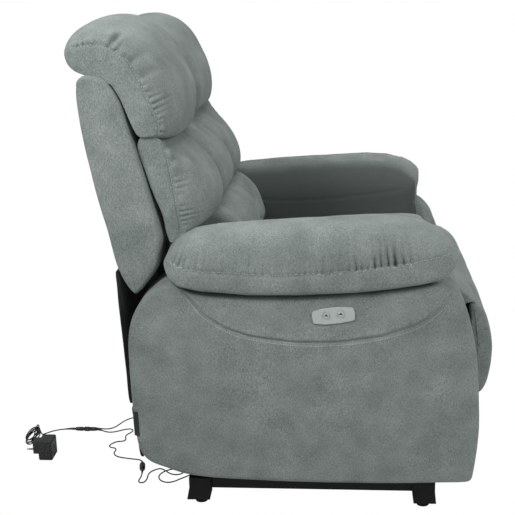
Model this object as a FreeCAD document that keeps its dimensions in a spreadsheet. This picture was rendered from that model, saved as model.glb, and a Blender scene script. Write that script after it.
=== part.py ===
"""Power lift and recline armchair with its wall adapter and low-voltage cords.

Frame: +X is the front of the chair, +Y the sitter's left, +Z up, millimetres.
The origin is on the floor, under the middle of the chair.
"""
import FreeCAD, Part
import math
import os
import Sketcher

V = FreeCAD.Vector
doc = FreeCAD.newDocument("LiftChair")

# ---------------------------------------------------------------- dimensions
DIMENSIONS = {
    "panel_outer": 410.0,        # outer face of the arm, from the middle
    "panel_inner": 280.0,
    "board_inner": 262.0,        # plywood board on the inside of the arm
    "pad_outer": 430.0,
    "pad_inner": 236.0,
    "pad_round": 28.0,
    "shell_half": 365.0,
    "pillow_half": 356.0,
    "lumbar_half": 348.0,
    "low_lumbar_half": 224.0,
    "seat_half": 250.0,
    "front_pad_half": 257.0,
    "board_half": 244.0,
    "rail_centre": 340.0,        # base side rails, from the middle
    "rail_width": 30.0,
    "rail_height": 20.0,
    "rail_wall": 2.0,
    "rail_length": 433.0,
    "base_tube_span": 650.0,     # cross tubes between the side rails
    "bracket_y": 234.0,
    "bracket_thick": 8.0,
    "arm_y": 220.0,
    "arm_thick": 12.0,
    "torque_span": 428.0,
    "pin_radius": 8.0,
    "pin_bore": 8.05,
    "plate_y": 239.0,
    "plate_thick": 6.0,
    "seat_rail_y": 247.0,
    "seat_rail_width": 30.0,
    "seat_rail_length": 568.0,
    "seat_tube_span": 464.0,
    "front_rail_half": 262.0,
    "shaft_radius": 7.0,
    "shaft_bore": 7.05,
    "upper_link_y": 171.0,
    "lower_link_y": 179.0,
    "lug_y": 187.0,
    "link_thick": 6.0,
    "link_pin": 6.0,
    "link_bore": 6.05,
    "back_bracket_y": 250.0,
    "back_tube_half": 244.0,
    "flap_half": 362.0,
    "flap_thick": 7.0,
    "glide_radius": 13.5,
    "glide_thick": 11.0,
    "button_radius": 6.0,
    "button_long": 7.0,
    "cord_radius": 1.5,
    "adapter_wide": 33.0,
    "adapter_deep": 46.0,
    "adapter_tall": 47.0,
    "mains_pin_radius": 2.0,
    "mains_pin_long": 19.0,
    "mains_pin_pitch": 19.0,
}

sheet = doc.addObject("Spreadsheet::Sheet", "Dims")
for row, (alias, number) in enumerate(DIMENSIONS.items(), start=1):
    sheet.set("A%d" % row, alias)
    sheet.set("B%d" % row, str(number))
    sheet.setAlias("B%d" % row, alias)
doc.recompute()


def dim(alias):
    """The number in the sheet's cell with this alias."""
    return float(getattr(sheet, alias))


# named points of the mechanism, in the plane of the chair's side (x, z)
LIFT_PIVOT = (250.0, 150.0)      # front hinge of the lift arms, on the base
LIFT_TAIL = (-222.7, 66.7)       # hinge between lift arm and chair frame
LEVER_PIN = (190.0, 203.0)       # where the lift motor pushes
MOTOR_PIVOT = (-95.0, 78.0)      # rear hinge of the lift motor
BACK_PIVOT = (-290.0, 500.0)
FLAP_PIVOT = (-321.0, 240.0)
REST_PIVOT = (300.0, 350.0)      # footrest linkage on the seat frame
REST_KNEE = (240.0, 200.0)
REST_HEEL = (372.0, 290.0)

nodes = {}


def keep(obj, label):
    """Register a finished sub-part under its node name."""
    obj.Label = label
    nodes[label] = obj
    return obj


# ---------------------------------------------------------------- sketch help
def plane_of(body, role):
    for feature in body.Origin.OriginFeatures:
        if feature.Role == role:
            return feature
    raise RuntimeError("no plane " + role)


def new_body(name):
    return doc.addObject("PartDesign::Body", name)


def new_sketch(body, name, role="XZ_Plane", offset=0.0):
    sketch = body.newObject("Sketcher::SketchObject", name)
    sketch.AttachmentSupport = [(plane_of(body, role), "")]
    sketch.MapMode = "FlatFace"
    if offset:
        sketch.AttachmentOffset = FreeCAD.Placement(V(0, 0, offset), FreeCAD.Rotation())
    return sketch


def polygon(sketch, points):
    """Closed outline of straight edges, joined corner to corner and blocked."""
    first = sketch.GeometryCount
    count = len(points)
    for i, p in enumerate(points):
        q = points[(i + 1) % count]
        sketch.addGeometry(Part.LineSegment(V(p[0], p[1], 0), V(q[0], q[1], 0)), False)
    for i in range(count):
        sketch.addConstraint(Sketcher.Constraint("Coincident", first + i, 2, first + (i + 1) % count, 1))
    for i in range(count):
        sketch.addConstraint(Sketcher.Constraint("Block", first + i))


def circle(sketch, x, z, radius, alias=None):
    index = sketch.addGeometry(Part.Circle(V(x, z, 0), V(0, 0, 1), radius), False)
    if x:
        sketch.addConstraint(Sketcher.Constraint("DistanceX", -1, 1, index, 3, x))
    else:
        sketch.addConstraint(Sketcher.Constraint("PointOnObject", index, 3, -2))
    if z:
        sketch.addConstraint(Sketcher.Constraint("DistanceY", -1, 1, index, 3, z))
    else:
        sketch.addConstraint(Sketcher.Constraint("PointOnObject", index, 3, -1))
    number = sketch.addConstraint(Sketcher.Constraint("Radius", index, radius))
    if alias:
        sketch.setExpression("Constraints[%d]" % number, "Dims." + alias)
    return index


def strap(sketch, discs):
    """Rounded bar round two discs: two arcs joined by their outer tangents."""
    (x0, z0, r0), (x1, z1, r1) = discs
    length = math.hypot(x1 - x0, z1 - z0)
    heading = math.atan2(z1 - z0, x1 - x0)
    lean = math.acos((r0 - r1) / length)
    a = heading + lean
    b = heading - lean
    tip = Part.ArcOfCircle(Part.Circle(V(x1, z1, 0), V(0, 0, 1), r1), b, a)
    root = Part.ArcOfCircle(Part.Circle(V(x0, z0, 0), V(0, 0, 1), r0), a, b + 2 * math.pi)
    first = sketch.GeometryCount

    def on(x, z, r, angle):
        return V(x + r * math.cos(angle), z + r * math.sin(angle), 0)

    sketch.addGeometry(tip, False)
    sketch.addGeometry(Part.LineSegment(on(x1, z1, r1, a), on(x0, z0, r0, a)), False)
    sketch.addGeometry(root, False)
    sketch.addGeometry(Part.LineSegment(on(x0, z0, r0, b), on(x1, z1, r1, b)), False)
    for i in range(4):
        sketch.addConstraint(Sketcher.Constraint("Block", first + i))


def pad(body, sketch, alias_or_length, middle=True, backwards=False):
    """Pad a sketch; the length is a sheet expression or a plain number."""
    feature = body.newObject("PartDesign::Pad", sketch.Name + "_pad")
    feature.Profile = sketch
    if isinstance(alias_or_length, str):
        feature.setExpression("Length", alias_or_length)
    else:
        feature.Length = alias_or_length
    feature.Midplane = middle
    feature.Reversed = backwards
    return feature


def pocket(body, sketch, alias_or_length):
    """Cut both ways from the sketch plane, so the side doesn't matter."""
    feature = body.newObject("PartDesign::Pocket", sketch.Name + "_cut")
    feature.Profile = sketch
    if isinstance(alias_or_length, str):
        feature.setExpression("Length", alias_or_length)
    else:
        feature.Length = alias_or_length
    feature.Midplane = True
    return feature


def slab(name, outline, width, centre=None, label=None):
    """Side outline (x, z) padded across the chair, about y = centre."""
    body = new_body(name)
    sketch = new_sketch(body, name + "_outline")
    polygon(sketch, outline)
    pad(body, sketch, width)
    if centre:
        body.setExpression("Placement.Base.y", centre)
    return keep(body, label or name) if label != "" else body


def box(name, x0, y0, z0, length, width, height, label=None):
    """Part box from its low corner; each size may be an alias expression."""
    solid = doc.addObject("Part::Box", name)
    for prop, value in (("Length", length), ("Width", width), ("Height", height)):
        if isinstance(value, str):
            solid.setExpression(prop, value)
        else:
            setattr(solid, prop, value)
    solid.Placement = FreeCAD.Placement(V(x0, y0, z0), FreeCAD.Rotation())
    return keep(solid, label or name) if label != "" else solid


def cylinder(name, base, axis, radius, height, label=None):
    solid = doc.addObject("Part::Cylinder", name)
    for prop, value in (("Radius", radius), ("Height", height)):
        if isinstance(value, str):
            solid.setExpression(prop, value)
        else:
            setattr(solid, prop, value)
    solid.Placement = FreeCAD.Placement(V(*base), FreeCAD.Rotation(V(0, 0, 1), V(*axis)))
    return keep(solid, label or name) if label != "" else solid


def rect_tube(name, centre, length, axis, width="Dims.rail_width", height="Dims.rail_height"):
    """Square steel tube: outer and inner rectangles padded along an axis."""
    body = new_body(name)
    sketch = new_sketch(body, name + "_section", "XY_Plane")
    for inset in (0, 1):
        w = dim("rail_width") / 2 - inset * dim("rail_wall")
        t = dim("rail_height") / 2 - inset * dim("rail_wall")
        first = sketch.GeometryCount
        polygon(sketch, [(-w, -t), (w, -t), (w, t), (-w, t)])
    pad(body, sketch, length)
    turn = FreeCAD.Rotation(V(0, 1, 0), 90) if axis == "x" else FreeCAD.Rotation(V(1, 0, 0), 90)
    body.Placement = FreeCAD.Placement(V(*centre), turn)
    return keep(body, name)


def rounded_slab(name, outline, width, section, centre=None):
    """A padded side outline kept only inside a section drawn across it (y, z)."""
    side_body = slab(name + "_side", outline, width, None, "")
    section_body = new_body(name + "_across")
    sketch = new_sketch(section_body, name + "_section", "YZ_Plane")
    polygon(sketch, section)
    pad(section_body, sketch, 1600.0)
    common = doc.addObject("Part::Common", name)
    common.Base = side_body
    common.Tool = section_body
    if centre:
        common.setExpression("Placement.Base.y", centre)
    return keep(common, name)


SIDES = (("left", 1), ("right", -1))

# ---------------------------------------------------------------- floor base
FOOT_BOTTOM = dim("glide_thick")
FOOT_REAR = (-206.0, -159.0)
FOOT_FRONT = (274.0, 322.0)
RAIL_BOTTOM = 40.0
FRONT_TUBE_X = 250.0
tube_mid_z = RAIL_BOTTOM + dim("rail_height") / 2

for side, sign in SIDES:
    rail_mid_x = (FOOT_REAR[1] + FOOT_FRONT[0]) / 2
    rail = rect_tube("base_side_rail_" + side, (rail_mid_x, 0, tube_mid_z), "Dims.rail_length", "x")
    rail.setExpression("Placement.Base.y", "%d * Dims.rail_centre" % sign)
    for end, (x0, x1) in (("rear", FOOT_REAR), ("front", FOOT_FRONT)):
        foot = new_body("foot_%s_%s" % (end, side))
        outline = new_sketch(foot, "foot_%s_%s_outline" % (end, side))
        mid = (x0 + x1) / 2
        flare = 6.0 if end == "front" else -6.0
        low_back = x0 + max(flare, 0) / 2 + min(flare, 0)
        low_front = x1 + max(flare, 0) / 2 + min(flare, 0) / 2
        polygon(outline, [(low_back, FOOT_BOTTOM), (low_front, FOOT_BOTTOM), (x1, RAIL_BOTTOM), (x1, 63),
                          (x0, 63), (x0, RAIL_BOTTOM)])
        pad(foot, outline, 42.0)
        glide = new_sketch(foot, "foot_%s_%s_glide" % (end, side), "XY_Plane")
        circle(glide, mid, 0, dim("glide_radius"), "glide_radius")
        pad(foot, glide, "Dims.glide_thick", middle=False)
        foot.setExpression("Placement.Base.y", "%d * Dims.rail_centre" % sign)
        keep(foot, "foot_%s_%s" % (end, side))

rect_tube("base_cross_tube_front", (FRONT_TUBE_X, 0, tube_mid_z), "Dims.base_tube_span", "y")

for side, sign in SIDES:
    # upright plate with the front hinge pin pointing inwards
    bracket = new_body("lift_bracket_" + side)
    upright = new_sketch(bracket, "lift_bracket_%s_plate" % side)
    px, pz = LIFT_PIVOT
    polygon(upright, [(px - 22, 60), (px + 22, 60), (px + 22, pz - 6), (px + 14, pz + 14),
                      (px, pz + 19), (px - 14, pz + 14), (px - 22, pz - 6)])
    pad(bracket, upright, "Dims.bracket_thick")
    pin = new_sketch(bracket, "lift_bracket_%s_pin" % side, offset=sign * -4.0)
    circle(pin, px, pz, dim("pin_radius"), "pin_radius")
    # the sketch normal points to -Y, so the right-hand pin is reversed
    pad(bracket, pin, 26.0, middle=False, backwards=sign < 0)
    bracket.setExpression("Placement.Base.y", "%d * Dims.bracket_y" % sign)
    keep(bracket, "lift_bracket_" + side)

# clevis for the lift motor, welded on the rear cross tube
mx, mz = MOTOR_PIVOT
rear_tube = new_body("base_cross_tube_rear")
wall = dim("rail_wall")
tube_outer = new_sketch(rear_tube, "base_cross_tube_rear_outer")
polygon(tube_outer, [(mx - 15, RAIL_BOTTOM), (mx + 15, RAIL_BOTTOM), (mx + 15, 60), (mx - 15, 60)])
pad(rear_tube, tube_outer, "Dims.base_tube_span")
tube_inner = new_sketch(rear_tube, "base_cross_tube_rear_inner")
polygon(tube_inner, [(mx - 15 + wall, RAIL_BOTTOM + wall), (mx + 15 - wall, RAIL_BOTTOM + wall),
                     (mx + 15 - wall, 60 - wall), (mx - 15 + wall, 60 - wall)])
pocket(rear_tube, tube_inner, "Dims.base_tube_span + 10")
for y in (-18.5, 18.5):
    cheek = new_sketch(rear_tube, "motor_clevis_cheek_%s" % ("a" if y < 0 else "b"), offset=y)
    polygon(cheek, [(mx - 15, 59), (mx + 15, 59), (mx + 13, mz + 6), (mx + 6, mz + 12),
                    (mx - 6, mz + 12), (mx - 13, mz + 6)])
    pad(rear_tube, cheek, 7.0)
pivot = new_sketch(rear_tube, "motor_clevis_pin")
circle(pivot, mx, mz, 6.0)
pad(rear_tube, pivot, 42.0)
keep(rear_tube, "base_cross_tube_rear")

# junction box behind the rear cross tube, with two cord glands
JUNCTION_REAR = -160.0
GLAND_TIP = -172.0
CORD_GATE_Y = 18.0
CORD_GATE_Z = 42.0
junction = new_body("junction_box")
case = new_sketch(junction, "junction_box_case")
polygon(case, [(JUNCTION_REAR, 31), (-110, 31), (-110, 57), (-116, 60), (-154, 60), (JUNCTION_REAR, 54)])
pad(junction, case, 76.0)
glands = new_sketch(junction, "junction_box_glands", "YZ_Plane", JUNCTION_REAR + 1)
for y in (-CORD_GATE_Y, CORD_GATE_Y):
    circle(glands, y, CORD_GATE_Z, 5.0)
pad(junction, glands, 13.0, middle=False, backwards=True)
keep(junction, "junction_box")

# ---------------------------------------------------------------- lift linkage
for side, sign in SIDES:
    arm = new_body("lift_arm_" + side)
    bar = new_sketch(arm, "lift_arm_%s_bar" % side)
    strap(bar, [(LIFT_PIVOT[0], LIFT_PIVOT[1], 18.0), (LIFT_TAIL[0], LIFT_TAIL[1], 15.0)])
    pad(arm, bar, "Dims.arm_thick")
    bores = new_sketch(arm, "lift_arm_%s_bores" % side)
    circle(bores, LIFT_PIVOT[0], LIFT_PIVOT[1], dim("pin_bore"), "pin_bore")
    circle(bores, LIFT_TAIL[0], LIFT_TAIL[1], dim("pin_bore"), "pin_bore")
    pocket(arm, bores, 40.0)
    arm.setExpression("Placement.Base.y", "%d * Dims.arm_y" % sign)
    keep(arm, "lift_arm_" + side)

torque = new_body("lift_torque_tube")
ring = new_sketch(torque, "lift_torque_tube_ring")
circle(ring, LIFT_PIVOT[0], LIFT_PIVOT[1], 17.0)
circle(ring, LIFT_PIVOT[0], LIFT_PIVOT[1], 13.0)
pad(torque, ring, "Dims.torque_span")
lever = new_sketch(torque, "lift_torque_tube_lever")
strap(lever, [(LIFT_PIVOT[0], LIFT_PIVOT[1], 20.0), (LEVER_PIN[0], LEVER_PIN[1], 12.0)])
pad(torque, lever, 36.0)
gap = new_sketch(torque, "lift_torque_tube_gap")
dx = LEVER_PIN[0] - LIFT_PIVOT[0]
dz = LEVER_PIN[1] - LIFT_PIVOT[1]
reach = math.hypot(dx, dz)
ux, uz = dx / reach, dz / reach


def along(distance, across):
    """Point at a distance from the front hinge towards the lever pin."""
    return (LIFT_PIVOT[0] + ux * distance - uz * across, LIFT_PIVOT[1] + uz * distance + ux * across)


polygon(gap, [along(22, -40), along(reach + 40, -40), along(reach + 40, 40), along(22, 40)])
pocket(torque, gap, 24.0)
lever_pin = new_sketch(torque, "lift_torque_tube_pin")
circle(lever_pin, LEVER_PIN[0], LEVER_PIN[1], 6.0)
pad(torque, lever_pin, 34.0)
keep(torque, "lift_torque_tube")

# lift motor: housing with an outer tube, and the sliding rod
push = math.atan2(LEVER_PIN[1] - MOTOR_PIVOT[1], LEVER_PIN[0] - MOTOR_PIVOT[0])
span = math.hypot(LEVER_PIN[1] - MOTOR_PIVOT[1], LEVER_PIN[0] - MOTOR_PIVOT[0])
motor_frame = FreeCAD.Placement(V(mx, 0, mz), FreeCAD.Rotation(V(0, 1, 0), -math.degrees(push)))

motor = new_body("lift_motor")
eye = new_sketch(motor, "lift_motor_eye")
strap(eye, [(0, 0, 12.0), (34, 0, 12.0)])
pad(motor, eye, 28.0)
gearbox = new_sketch(motor, "lift_motor_gearbox")
polygon(gearbox, [(24, -17), (92, -17), (98, -11), (98, 24), (90, 32), (30, 32), (24, 24)])
pad(motor, gearbox, 64.0)
barrel = new_sketch(motor, "lift_motor_barrel", "YZ_Plane", 90.0)
circle(barrel, 0, 0, 15.0)
pad(motor, barrel, 112.0, middle=False)
eye_bore = new_sketch(motor, "lift_motor_eye_bore")
circle(eye_bore, 0, 0, 6.05)
pocket(motor, eye_bore, 60.0)
rod_bore = new_sketch(motor, "lift_motor_rod_bore", "YZ_Plane", 110.0)
circle(rod_bore, 0, 0, 8.05)
bore = motor.newObject("PartDesign::Pocket", "lift_motor_rod_bore_cut")
bore.Profile = rod_bore
bore.Length = 120.0
bore.Reversed = True
motor.Placement = motor_frame
keep(motor, "lift_motor")

rod = new_body("lift_rod")
stem = new_sketch(rod, "lift_rod_stem", "YZ_Plane", 116.0)
circle(stem, 0, 0, 8.0)
pad(rod, stem, span - 116.0 - 12.0, middle=False)
yoke = new_sketch(rod, "lift_rod_yoke")
polygon(yoke, [(span - 14, -16), (span + 14, -16), (span + 14, 26), (span - 14, 26)])
pad(rod, yoke, 20.0)
window = new_sketch(rod, "lift_rod_window")
polygon(window, [(span - 7.5, -9), (span + 7.5, -9), (span + 7.5, 20), (span - 7.5, 20)])
pocket(rod, window, 60.0)
rod.Placement = motor_frame
keep(rod, "lift_rod")

# ---------------------------------------------------------------- chair frame
ARM_BOARD = [(-284, 138), (-200, 114), (0, 101), (330, 106), (345, 200), (344, 360), (328, 440),
             (302, 488), (100, 484), (-100, 484), (-206, 496), (-240, 488), (-262, 470), (-286, 430)]
ARM_PANEL = [(-286, 125), (-245, 107), (-206, 94), (-153, 87), (-34, 81), (58, 79), (271, 81), (378, 87),
             (391, 98), (400, 152), (403, 204), (401, 277), (393, 370), (382, 425), (367, 474), (355, 494),
             (334, 516), (318, 522), (279, 513), (231, 506), (151, 498), (42, 491), (-60, 491), (-158, 498),
             (-198, 508), (-216, 520), (-237, 514), (-258, 499), (-280, 478), (-294, 457), (-305, 430),
             (-310, 404), (-312, 267), (-308, 191)]
ARM_PAD = [(44, 641), (-60, 634), (-125, 628), (-173, 622), (-202, 605), (-214, 593), (-228, 572),
           (-230, 552), (-227, 545), (-219, 531), (-200, 516), (-158, 506), (-60, 498), (42, 498),
           (151, 505), (231, 514), (279, 521), (311, 530), (326, 525), (337, 538), (347, 560), (353, 579),
           (349, 594), (332, 618), (308, 632), (250, 647), (193, 652), (150, 648)]

for side, sign in SIDES:
    slab("arm_board_" + side, ARM_BOARD, "Dims.panel_inner - Dims.board_inner",
         "%d * (Dims.panel_inner + Dims.board_inner) / 2" % sign)
    slab("arm_panel_" + side, ARM_PANEL, "Dims.panel_outer - Dims.panel_inner - 0.4",
         "%d * (Dims.panel_outer + Dims.panel_inner + 0.4) / 2" % sign)
    w = (dim("pad_outer") - dim("pad_inner")) / 2
    section = [(-w, 498), (w, 498), (w, 612), (w - 8, 632), (w - 24, 646), (w - 50, 652),
               (50 - w, 652), (24 - w, 646), (8 - w, 632), (-w, 612)]
    rounded_slab("arm_pad_" + side, ARM_PAD, "Dims.pad_outer - Dims.pad_inner", section,
                 "%d * (Dims.pad_outer + Dims.pad_inner) / 2" % sign)
    # steel plate that carries the chair on the tail of the lift arm
    plate = new_body("lift_plate_" + side)
    web = new_sketch(plate, "lift_plate_%s_web" % side)
    tx, tz = LIFT_TAIL
    polygon(web, [(tx - 14, tz - 12), (tx, tz - 17), (tx + 14, tz - 12), (tx + 20, tz + 4), (-170, 200),
                  (-120, 335), (-246, 335), (-246, 200), (tx - 19, tz + 6)])
    pad(plate, web, "Dims.plate_thick")
    tail_pin = new_sketch(plate, "lift_plate_%s_pin" % side, offset=sign * -3.0)
    circle(tail_pin, tx, tz, dim("pin_radius"), "pin_radius")
    pad(plate, tail_pin, 29.0, middle=False, backwards=sign < 0)
    plate.setExpression("Placement.Base.y", "%d * Dims.plate_y" % sign)
    keep(plate, "lift_plate_" + side)
    rail = rect_tube("seat_rail_" + side, (34, 0, 350), "Dims.seat_rail_length", "x")
    rail.setExpression("Placement.Base.y", "%d * Dims.seat_rail_y" % sign)
    # bracket that carries the backrest hinge, with its pin pointing inwards
    horn = new_body("back_bracket_" + side)
    sheet_metal = new_sketch(horn, "back_bracket_%s_plate" % side)
    bx, bz = BACK_PIVOT
    polygon(sheet_metal, [(-250, 365), (-206, 365), (-222, 400), (bx + 16, bz + 2), (bx + 10, bz + 12),
                          (bx, bz + 15), (bx - 10, bz + 11), (bx - 15, bz)])
    pad(horn, sheet_metal, "Dims.plate_thick")
    horn_pin = new_sketch(horn, "back_bracket_%s_pin" % side, offset=sign * -3.0)
    circle(horn_pin, bx, bz, dim("pin_radius"), "pin_radius")
    pad(horn, horn_pin, 26.0, middle=False, backwards=sign < 0)
    horn.setExpression("Placement.Base.y", "%d * Dims.back_bracket_y" % sign)
    keep(horn, "back_bracket_" + side)

rect_tube("seat_cross_tube", (-235, 0, 350), "Dims.seat_tube_span", "y")
box("front_rail", 300, -262, 365.0, 40.0, "2 * Dims.front_rail_half", 38.0)
cylinder("footrest_shaft", (REST_PIVOT[0], 232, REST_PIVOT[1]), (0, -1, 0),
         "Dims.shaft_radius", "Dims.seat_tube_span")

SEAT = [(-212, 405), (341, 405), (341, 514), (322, 532), (300, 546), (220, 550), (100, 546),
        (0, 535), (-56, 515), (-74, 494), (-212, 494)]
seat_w = dim("seat_half")
rounded_slab("seat_cushion", SEAT, "2 * Dims.seat_half",
             [(-seat_w, 405), (seat_w, 405), (seat_w, 488), (228, 496), (205, 530), (160, 550),
              (-160, 550), (-205, 530), (-228, 496), (-seat_w, 488)])
FRONT_ROLL = [(342, 410), (370, 410), (375, 436), (382, 450), (396, 456.5), (407, 458), (402, 471),
              (393, 487), (378, 503), (362, 512), (350, 514), (342, 510)]
slab("seat_front_roll", FRONT_ROLL, "2 * Dims.front_pad_half")

slab("rear_panel_lower", [(-308, 112), (-301, 112), (-314, 230), (-321, 230)], "2 * Dims.flap_half")
flap = slab("rear_flap", [(-324.5, 240), (-317.5, 240), (-323, 315), (-326.5, 393), (-329, 460), (-330, 500),
                         (-331.5, 524), (-337, 531), (-338, 524), (-337, 500), (-336, 460), (-333, 393),
                         (-329.5, 315)], "2 * Dims.flap_half")
bead = new_sketch(flap, "rear_flap_bead")
circle(bead, FLAP_PIVOT[0], FLAP_PIVOT[1], 4.5)
pad(flap, bead, "2 * Dims.flap_half")

# recline motor between the seat cross tube and the footrest shaft
recline = new_body("recline_motor")
body_side = new_sketch(recline, "recline_motor_side")
polygon(body_side, [(-220, 338), (-150, 338), (-150, 328), (-70, 328), (-70, 338), (120, 338), (120, 362),
                    (-70, 362), (-70, 384), (-150, 384), (-150, 362), (-220, 362)])
pad(recline, body_side, 44.0)
keep(recline, "recline_motor")

# control plate on the outside of the right-hand arm
PLATE = [(66, 463), (90, 469.5), (117, 473), (148, 472), (151.5, 459), (151, 445), (120, 438), (91, 435),
         (68, 437), (64.5, 450)]
BUTTONS = (("down", 94.0, 456.0), ("up", 123.0, 459.0))
control = new_body("control_plate")
face = new_sketch(control, "control_plate_face")
polygon(face, PLATE)
pad(control, face, 4.0)
holes = new_sketch(control, "control_plate_holes")
for _, bx_, bz_ in BUTTONS:
    circle(holes, bx_, bz_, 6.35)
pocket(control, holes, 20.0)
control.Placement = FreeCAD.Placement(V(0, -412.0, 0), FreeCAD.Rotation())
keep(control, "control_plate")
for name, bx_, bz_ in BUTTONS:
    cylinder("button_" + name, (bx_, -417.5, bz_), (0, 1, 0), "Dims.button_radius", 5.0)

# ---------------------------------------------------------------- backrest
SHELL = [(-299, 478), (-290, 483), (-267, 511), (-244, 543), (-240, 572), (-231, 600), (-248, 662),
         (-278, 770), (-291, 814), (-307, 873), (-323, 904), (-335, 921), (-353, 928), (-381, 927),
         (-394, 916), (-393, 864), (-384, 793), (-366, 692), (-349, 618), (-331, 535), (-312, 492)]
shell = new_body("back_shell")
shell_side = new_sketch(shell, "back_shell_outline")
polygon(shell_side, SHELL)
pad(shell, shell_side, "2 * Dims.shell_half")
notch = new_sketch(shell, "back_shell_notch")
polygon(notch, [(-360, 440), (-200, 440), (-200, 541), (-360, 541)])
pocket(shell, notch, 524.0)
keep(shell, "back_shell")

HEAD_PILLOW = [(-444, 968), (-445, 984), (-434, 1000), (-383, 1026), (-321, 1036), (-268, 1016),
               (-219, 961), (-191, 889), (-187, 847), (-194, 812), (-212, 790), (-240, 786), (-280, 794),
               (-288, 820), (-304, 877), (-320, 908), (-333, 924), (-352, 931), (-405, 931), (-425, 945)]
rounded_slab("head_pillow", HEAD_PILLOW, "2 * Dims.pillow_half",
             [(-356, 780), (356, 780), (356, 950), (340, 990), (300, 1020), (240, 1036),
              (-240, 1036), (-300, 1020), (-340, 990), (-356, 950)])
UPPER_LUMBAR = [(-280, 786), (-275, 765), (-246, 664), (-243, 646), (-150, 640), (-136, 650), (-133, 672),
                (-142, 703), (-161, 735), (-190, 759), (-218, 779), (-245, 783)]
slab("upper_lumbar", UPPER_LUMBAR, "2 * Dims.lumbar_half")
LOWER_LUMBAR = [(-241, 640), (-230, 600), (-239, 572), (-243, 545), (-243, 498), (-78, 498), (-68, 520),
                (-76, 552), (-90, 585), (-108, 608), (-130, 626), (-150, 636)]
slab("lower_lumbar", LOWER_LUMBAR, "2 * Dims.low_lumbar_half")

hinge = new_body("back_hinge_tube")
hoop = new_sketch(hinge, "back_hinge_tube_ring")
circle(hoop, BACK_PIVOT[0], BACK_PIVOT[1], 13.0)
pad(hinge, hoop, "2 * Dims.back_tube_half")
for y in (-180.0, 180.0):
    tab = new_sketch(hinge, "back_hinge_tab_%s" % ("a" if y < 0 else "b"), offset=y)
    tx_, tz_ = BACK_PIVOT
    polygon(tab, [(tx_ - 12, tz_ - 2), (tx_ + 12, tz_ - 2), (tx_ + 34, 541), (tx_ - 26, 541)])
    pad(hinge, tab, 8.0)
through = new_sketch(hinge, "back_hinge_tube_bore")
circle(through, BACK_PIVOT[0], BACK_PIVOT[1], dim("pin_bore"), "pin_bore")
pocket(hinge, through, "2 * Dims.back_tube_half + 20")
keep(hinge, "back_hinge_tube")

# ---------------------------------------------------------------- footrest
def link(name, start, end, start_bore, centre, sign, stub=None):
    """One bar of the footrest linkage; stub is its knee pin, pointing outwards."""
    body = new_body(name)
    bar = new_sketch(body, name + "_bar")
    strap(bar, [(start[0], start[1], 13.0), (end[0], end[1], 12.0)])
    pad(body, bar, "Dims.link_thick")
    bore = new_sketch(body, name + "_bore")
    circle(bore, start[0], start[1], dim(start_bore), start_bore)
    if stub is None:
        circle(bore, end[0], end[1], dim("link_bore"), "link_bore")
    pocket(body, bore, 40.0)
    if stub:
        knob = new_sketch(body, name + "_knob", offset=-sign * 2.0)
        circle(knob, end[0], end[1], dim("link_pin"), "link_pin")
        pad(body, knob, stub, middle=False, backwards=sign > 0)
    body.setExpression("Placement.Base.y", "%d * Dims.%s" % (sign, centre))
    return keep(body, name)


for side, sign in SIDES:
    link("footrest_upper_link_" + side, REST_PIVOT, REST_KNEE, "shaft_bore", "upper_link_y", sign, stub=9.0)
    link("footrest_lower_link_" + side, REST_KNEE, REST_HEEL, "link_bore", "lower_link_y", sign)

board = new_body("footrest_board")
sheet_side = new_sketch(board, "footrest_board_side")
polygon(sheet_side, [(386, 234), (394, 234), (394, 444), (386, 444)])
pad(board, sheet_side, "2 * Dims.board_half")
for side, sign in SIDES:
    lug = new_sketch(board, "footrest_board_lug_" + side, offset=-sign * dim("lug_y"))
    polygon(lug, [(388, 266), (388, 314), (REST_HEEL[0] - 4, REST_HEEL[1] + 11),
                  (REST_HEEL[0] - 11, REST_HEEL[1]), (REST_HEEL[0] - 4, REST_HEEL[1] - 11)])
    pad(board, lug, "Dims.link_thick")
for side, sign in SIDES:
    peg = new_sketch(board, "footrest_board_peg_" + side, offset=-sign * (dim("lug_y") - 2.0))
    circle(peg, REST_HEEL[0], REST_HEEL[1], dim("link_pin"), "link_pin")
    pad(board, peg, 10.0, middle=False, backwards=sign < 0)
keep(board, "footrest_board")
FOOT_PAD = [(394.2, 227), (420, 228), (433, 248), (442, 285), (445.5, 325), (441, 363), (430, 406),
            (417, 436), (406, 448), (394.2, 448)]
slab("footrest_pad", FOOT_PAD, "2 * Dims.front_pad_half")

# ---------------------------------------------------------------- adapter and cords
ADAPTER_X = -599.0
ADAPTER_Y = -172.0
adapter = new_body("power_adapter")
footprint = new_sketch(adapter, "power_adapter_footprint", "XY_Plane")
aw, ad = dim("adapter_wide"), dim("adapter_deep")
polygon(footprint, [(2, 0), (aw - 2, 0), (aw, 2), (aw, ad - 2), (aw - 2, ad), (2, ad), (0, ad - 2), (0, 2)])
pad(adapter, footprint, "Dims.adapter_tall", middle=False)
lead_gate = new_sketch(adapter, "power_adapter_gate")
circle(lead_gate, 14.0, 12.0, 3.6)
gate = pad(adapter, lead_gate, ad + 4.0, middle=False, backwards=True)
adapter.Placement = FreeCAD.Placement(V(ADAPTER_X, ADAPTER_Y, 0), FreeCAD.Rotation())
keep(adapter, "power_adapter")

insert = new_body("adapter_plug_insert")
nose = new_sketch(insert, "adapter_plug_insert_nose")
polygon(nose, [(-16, 11), (0, 11), (0, 43), (-16, 43)])
pad(insert, nose, 26.0)
prongs = new_sketch(insert, "adapter_plug_insert_prongs", "YZ_Plane", -15.0)
half_pitch = dim("mains_pin_pitch") / 2
for z in (27 - half_pitch, 27 + half_pitch):
    circle(prongs, 0, z, dim("mains_pin_radius"), "mains_pin_radius")
pad(insert, prongs, "Dims.mains_pin_long + 1", middle=False, backwards=True)
insert.Placement = FreeCAD.Placement(V(ADAPTER_X, ADAPTER_Y + 24, 0), FreeCAD.Rotation())
keep(insert, "adapter_plug_insert")


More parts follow.
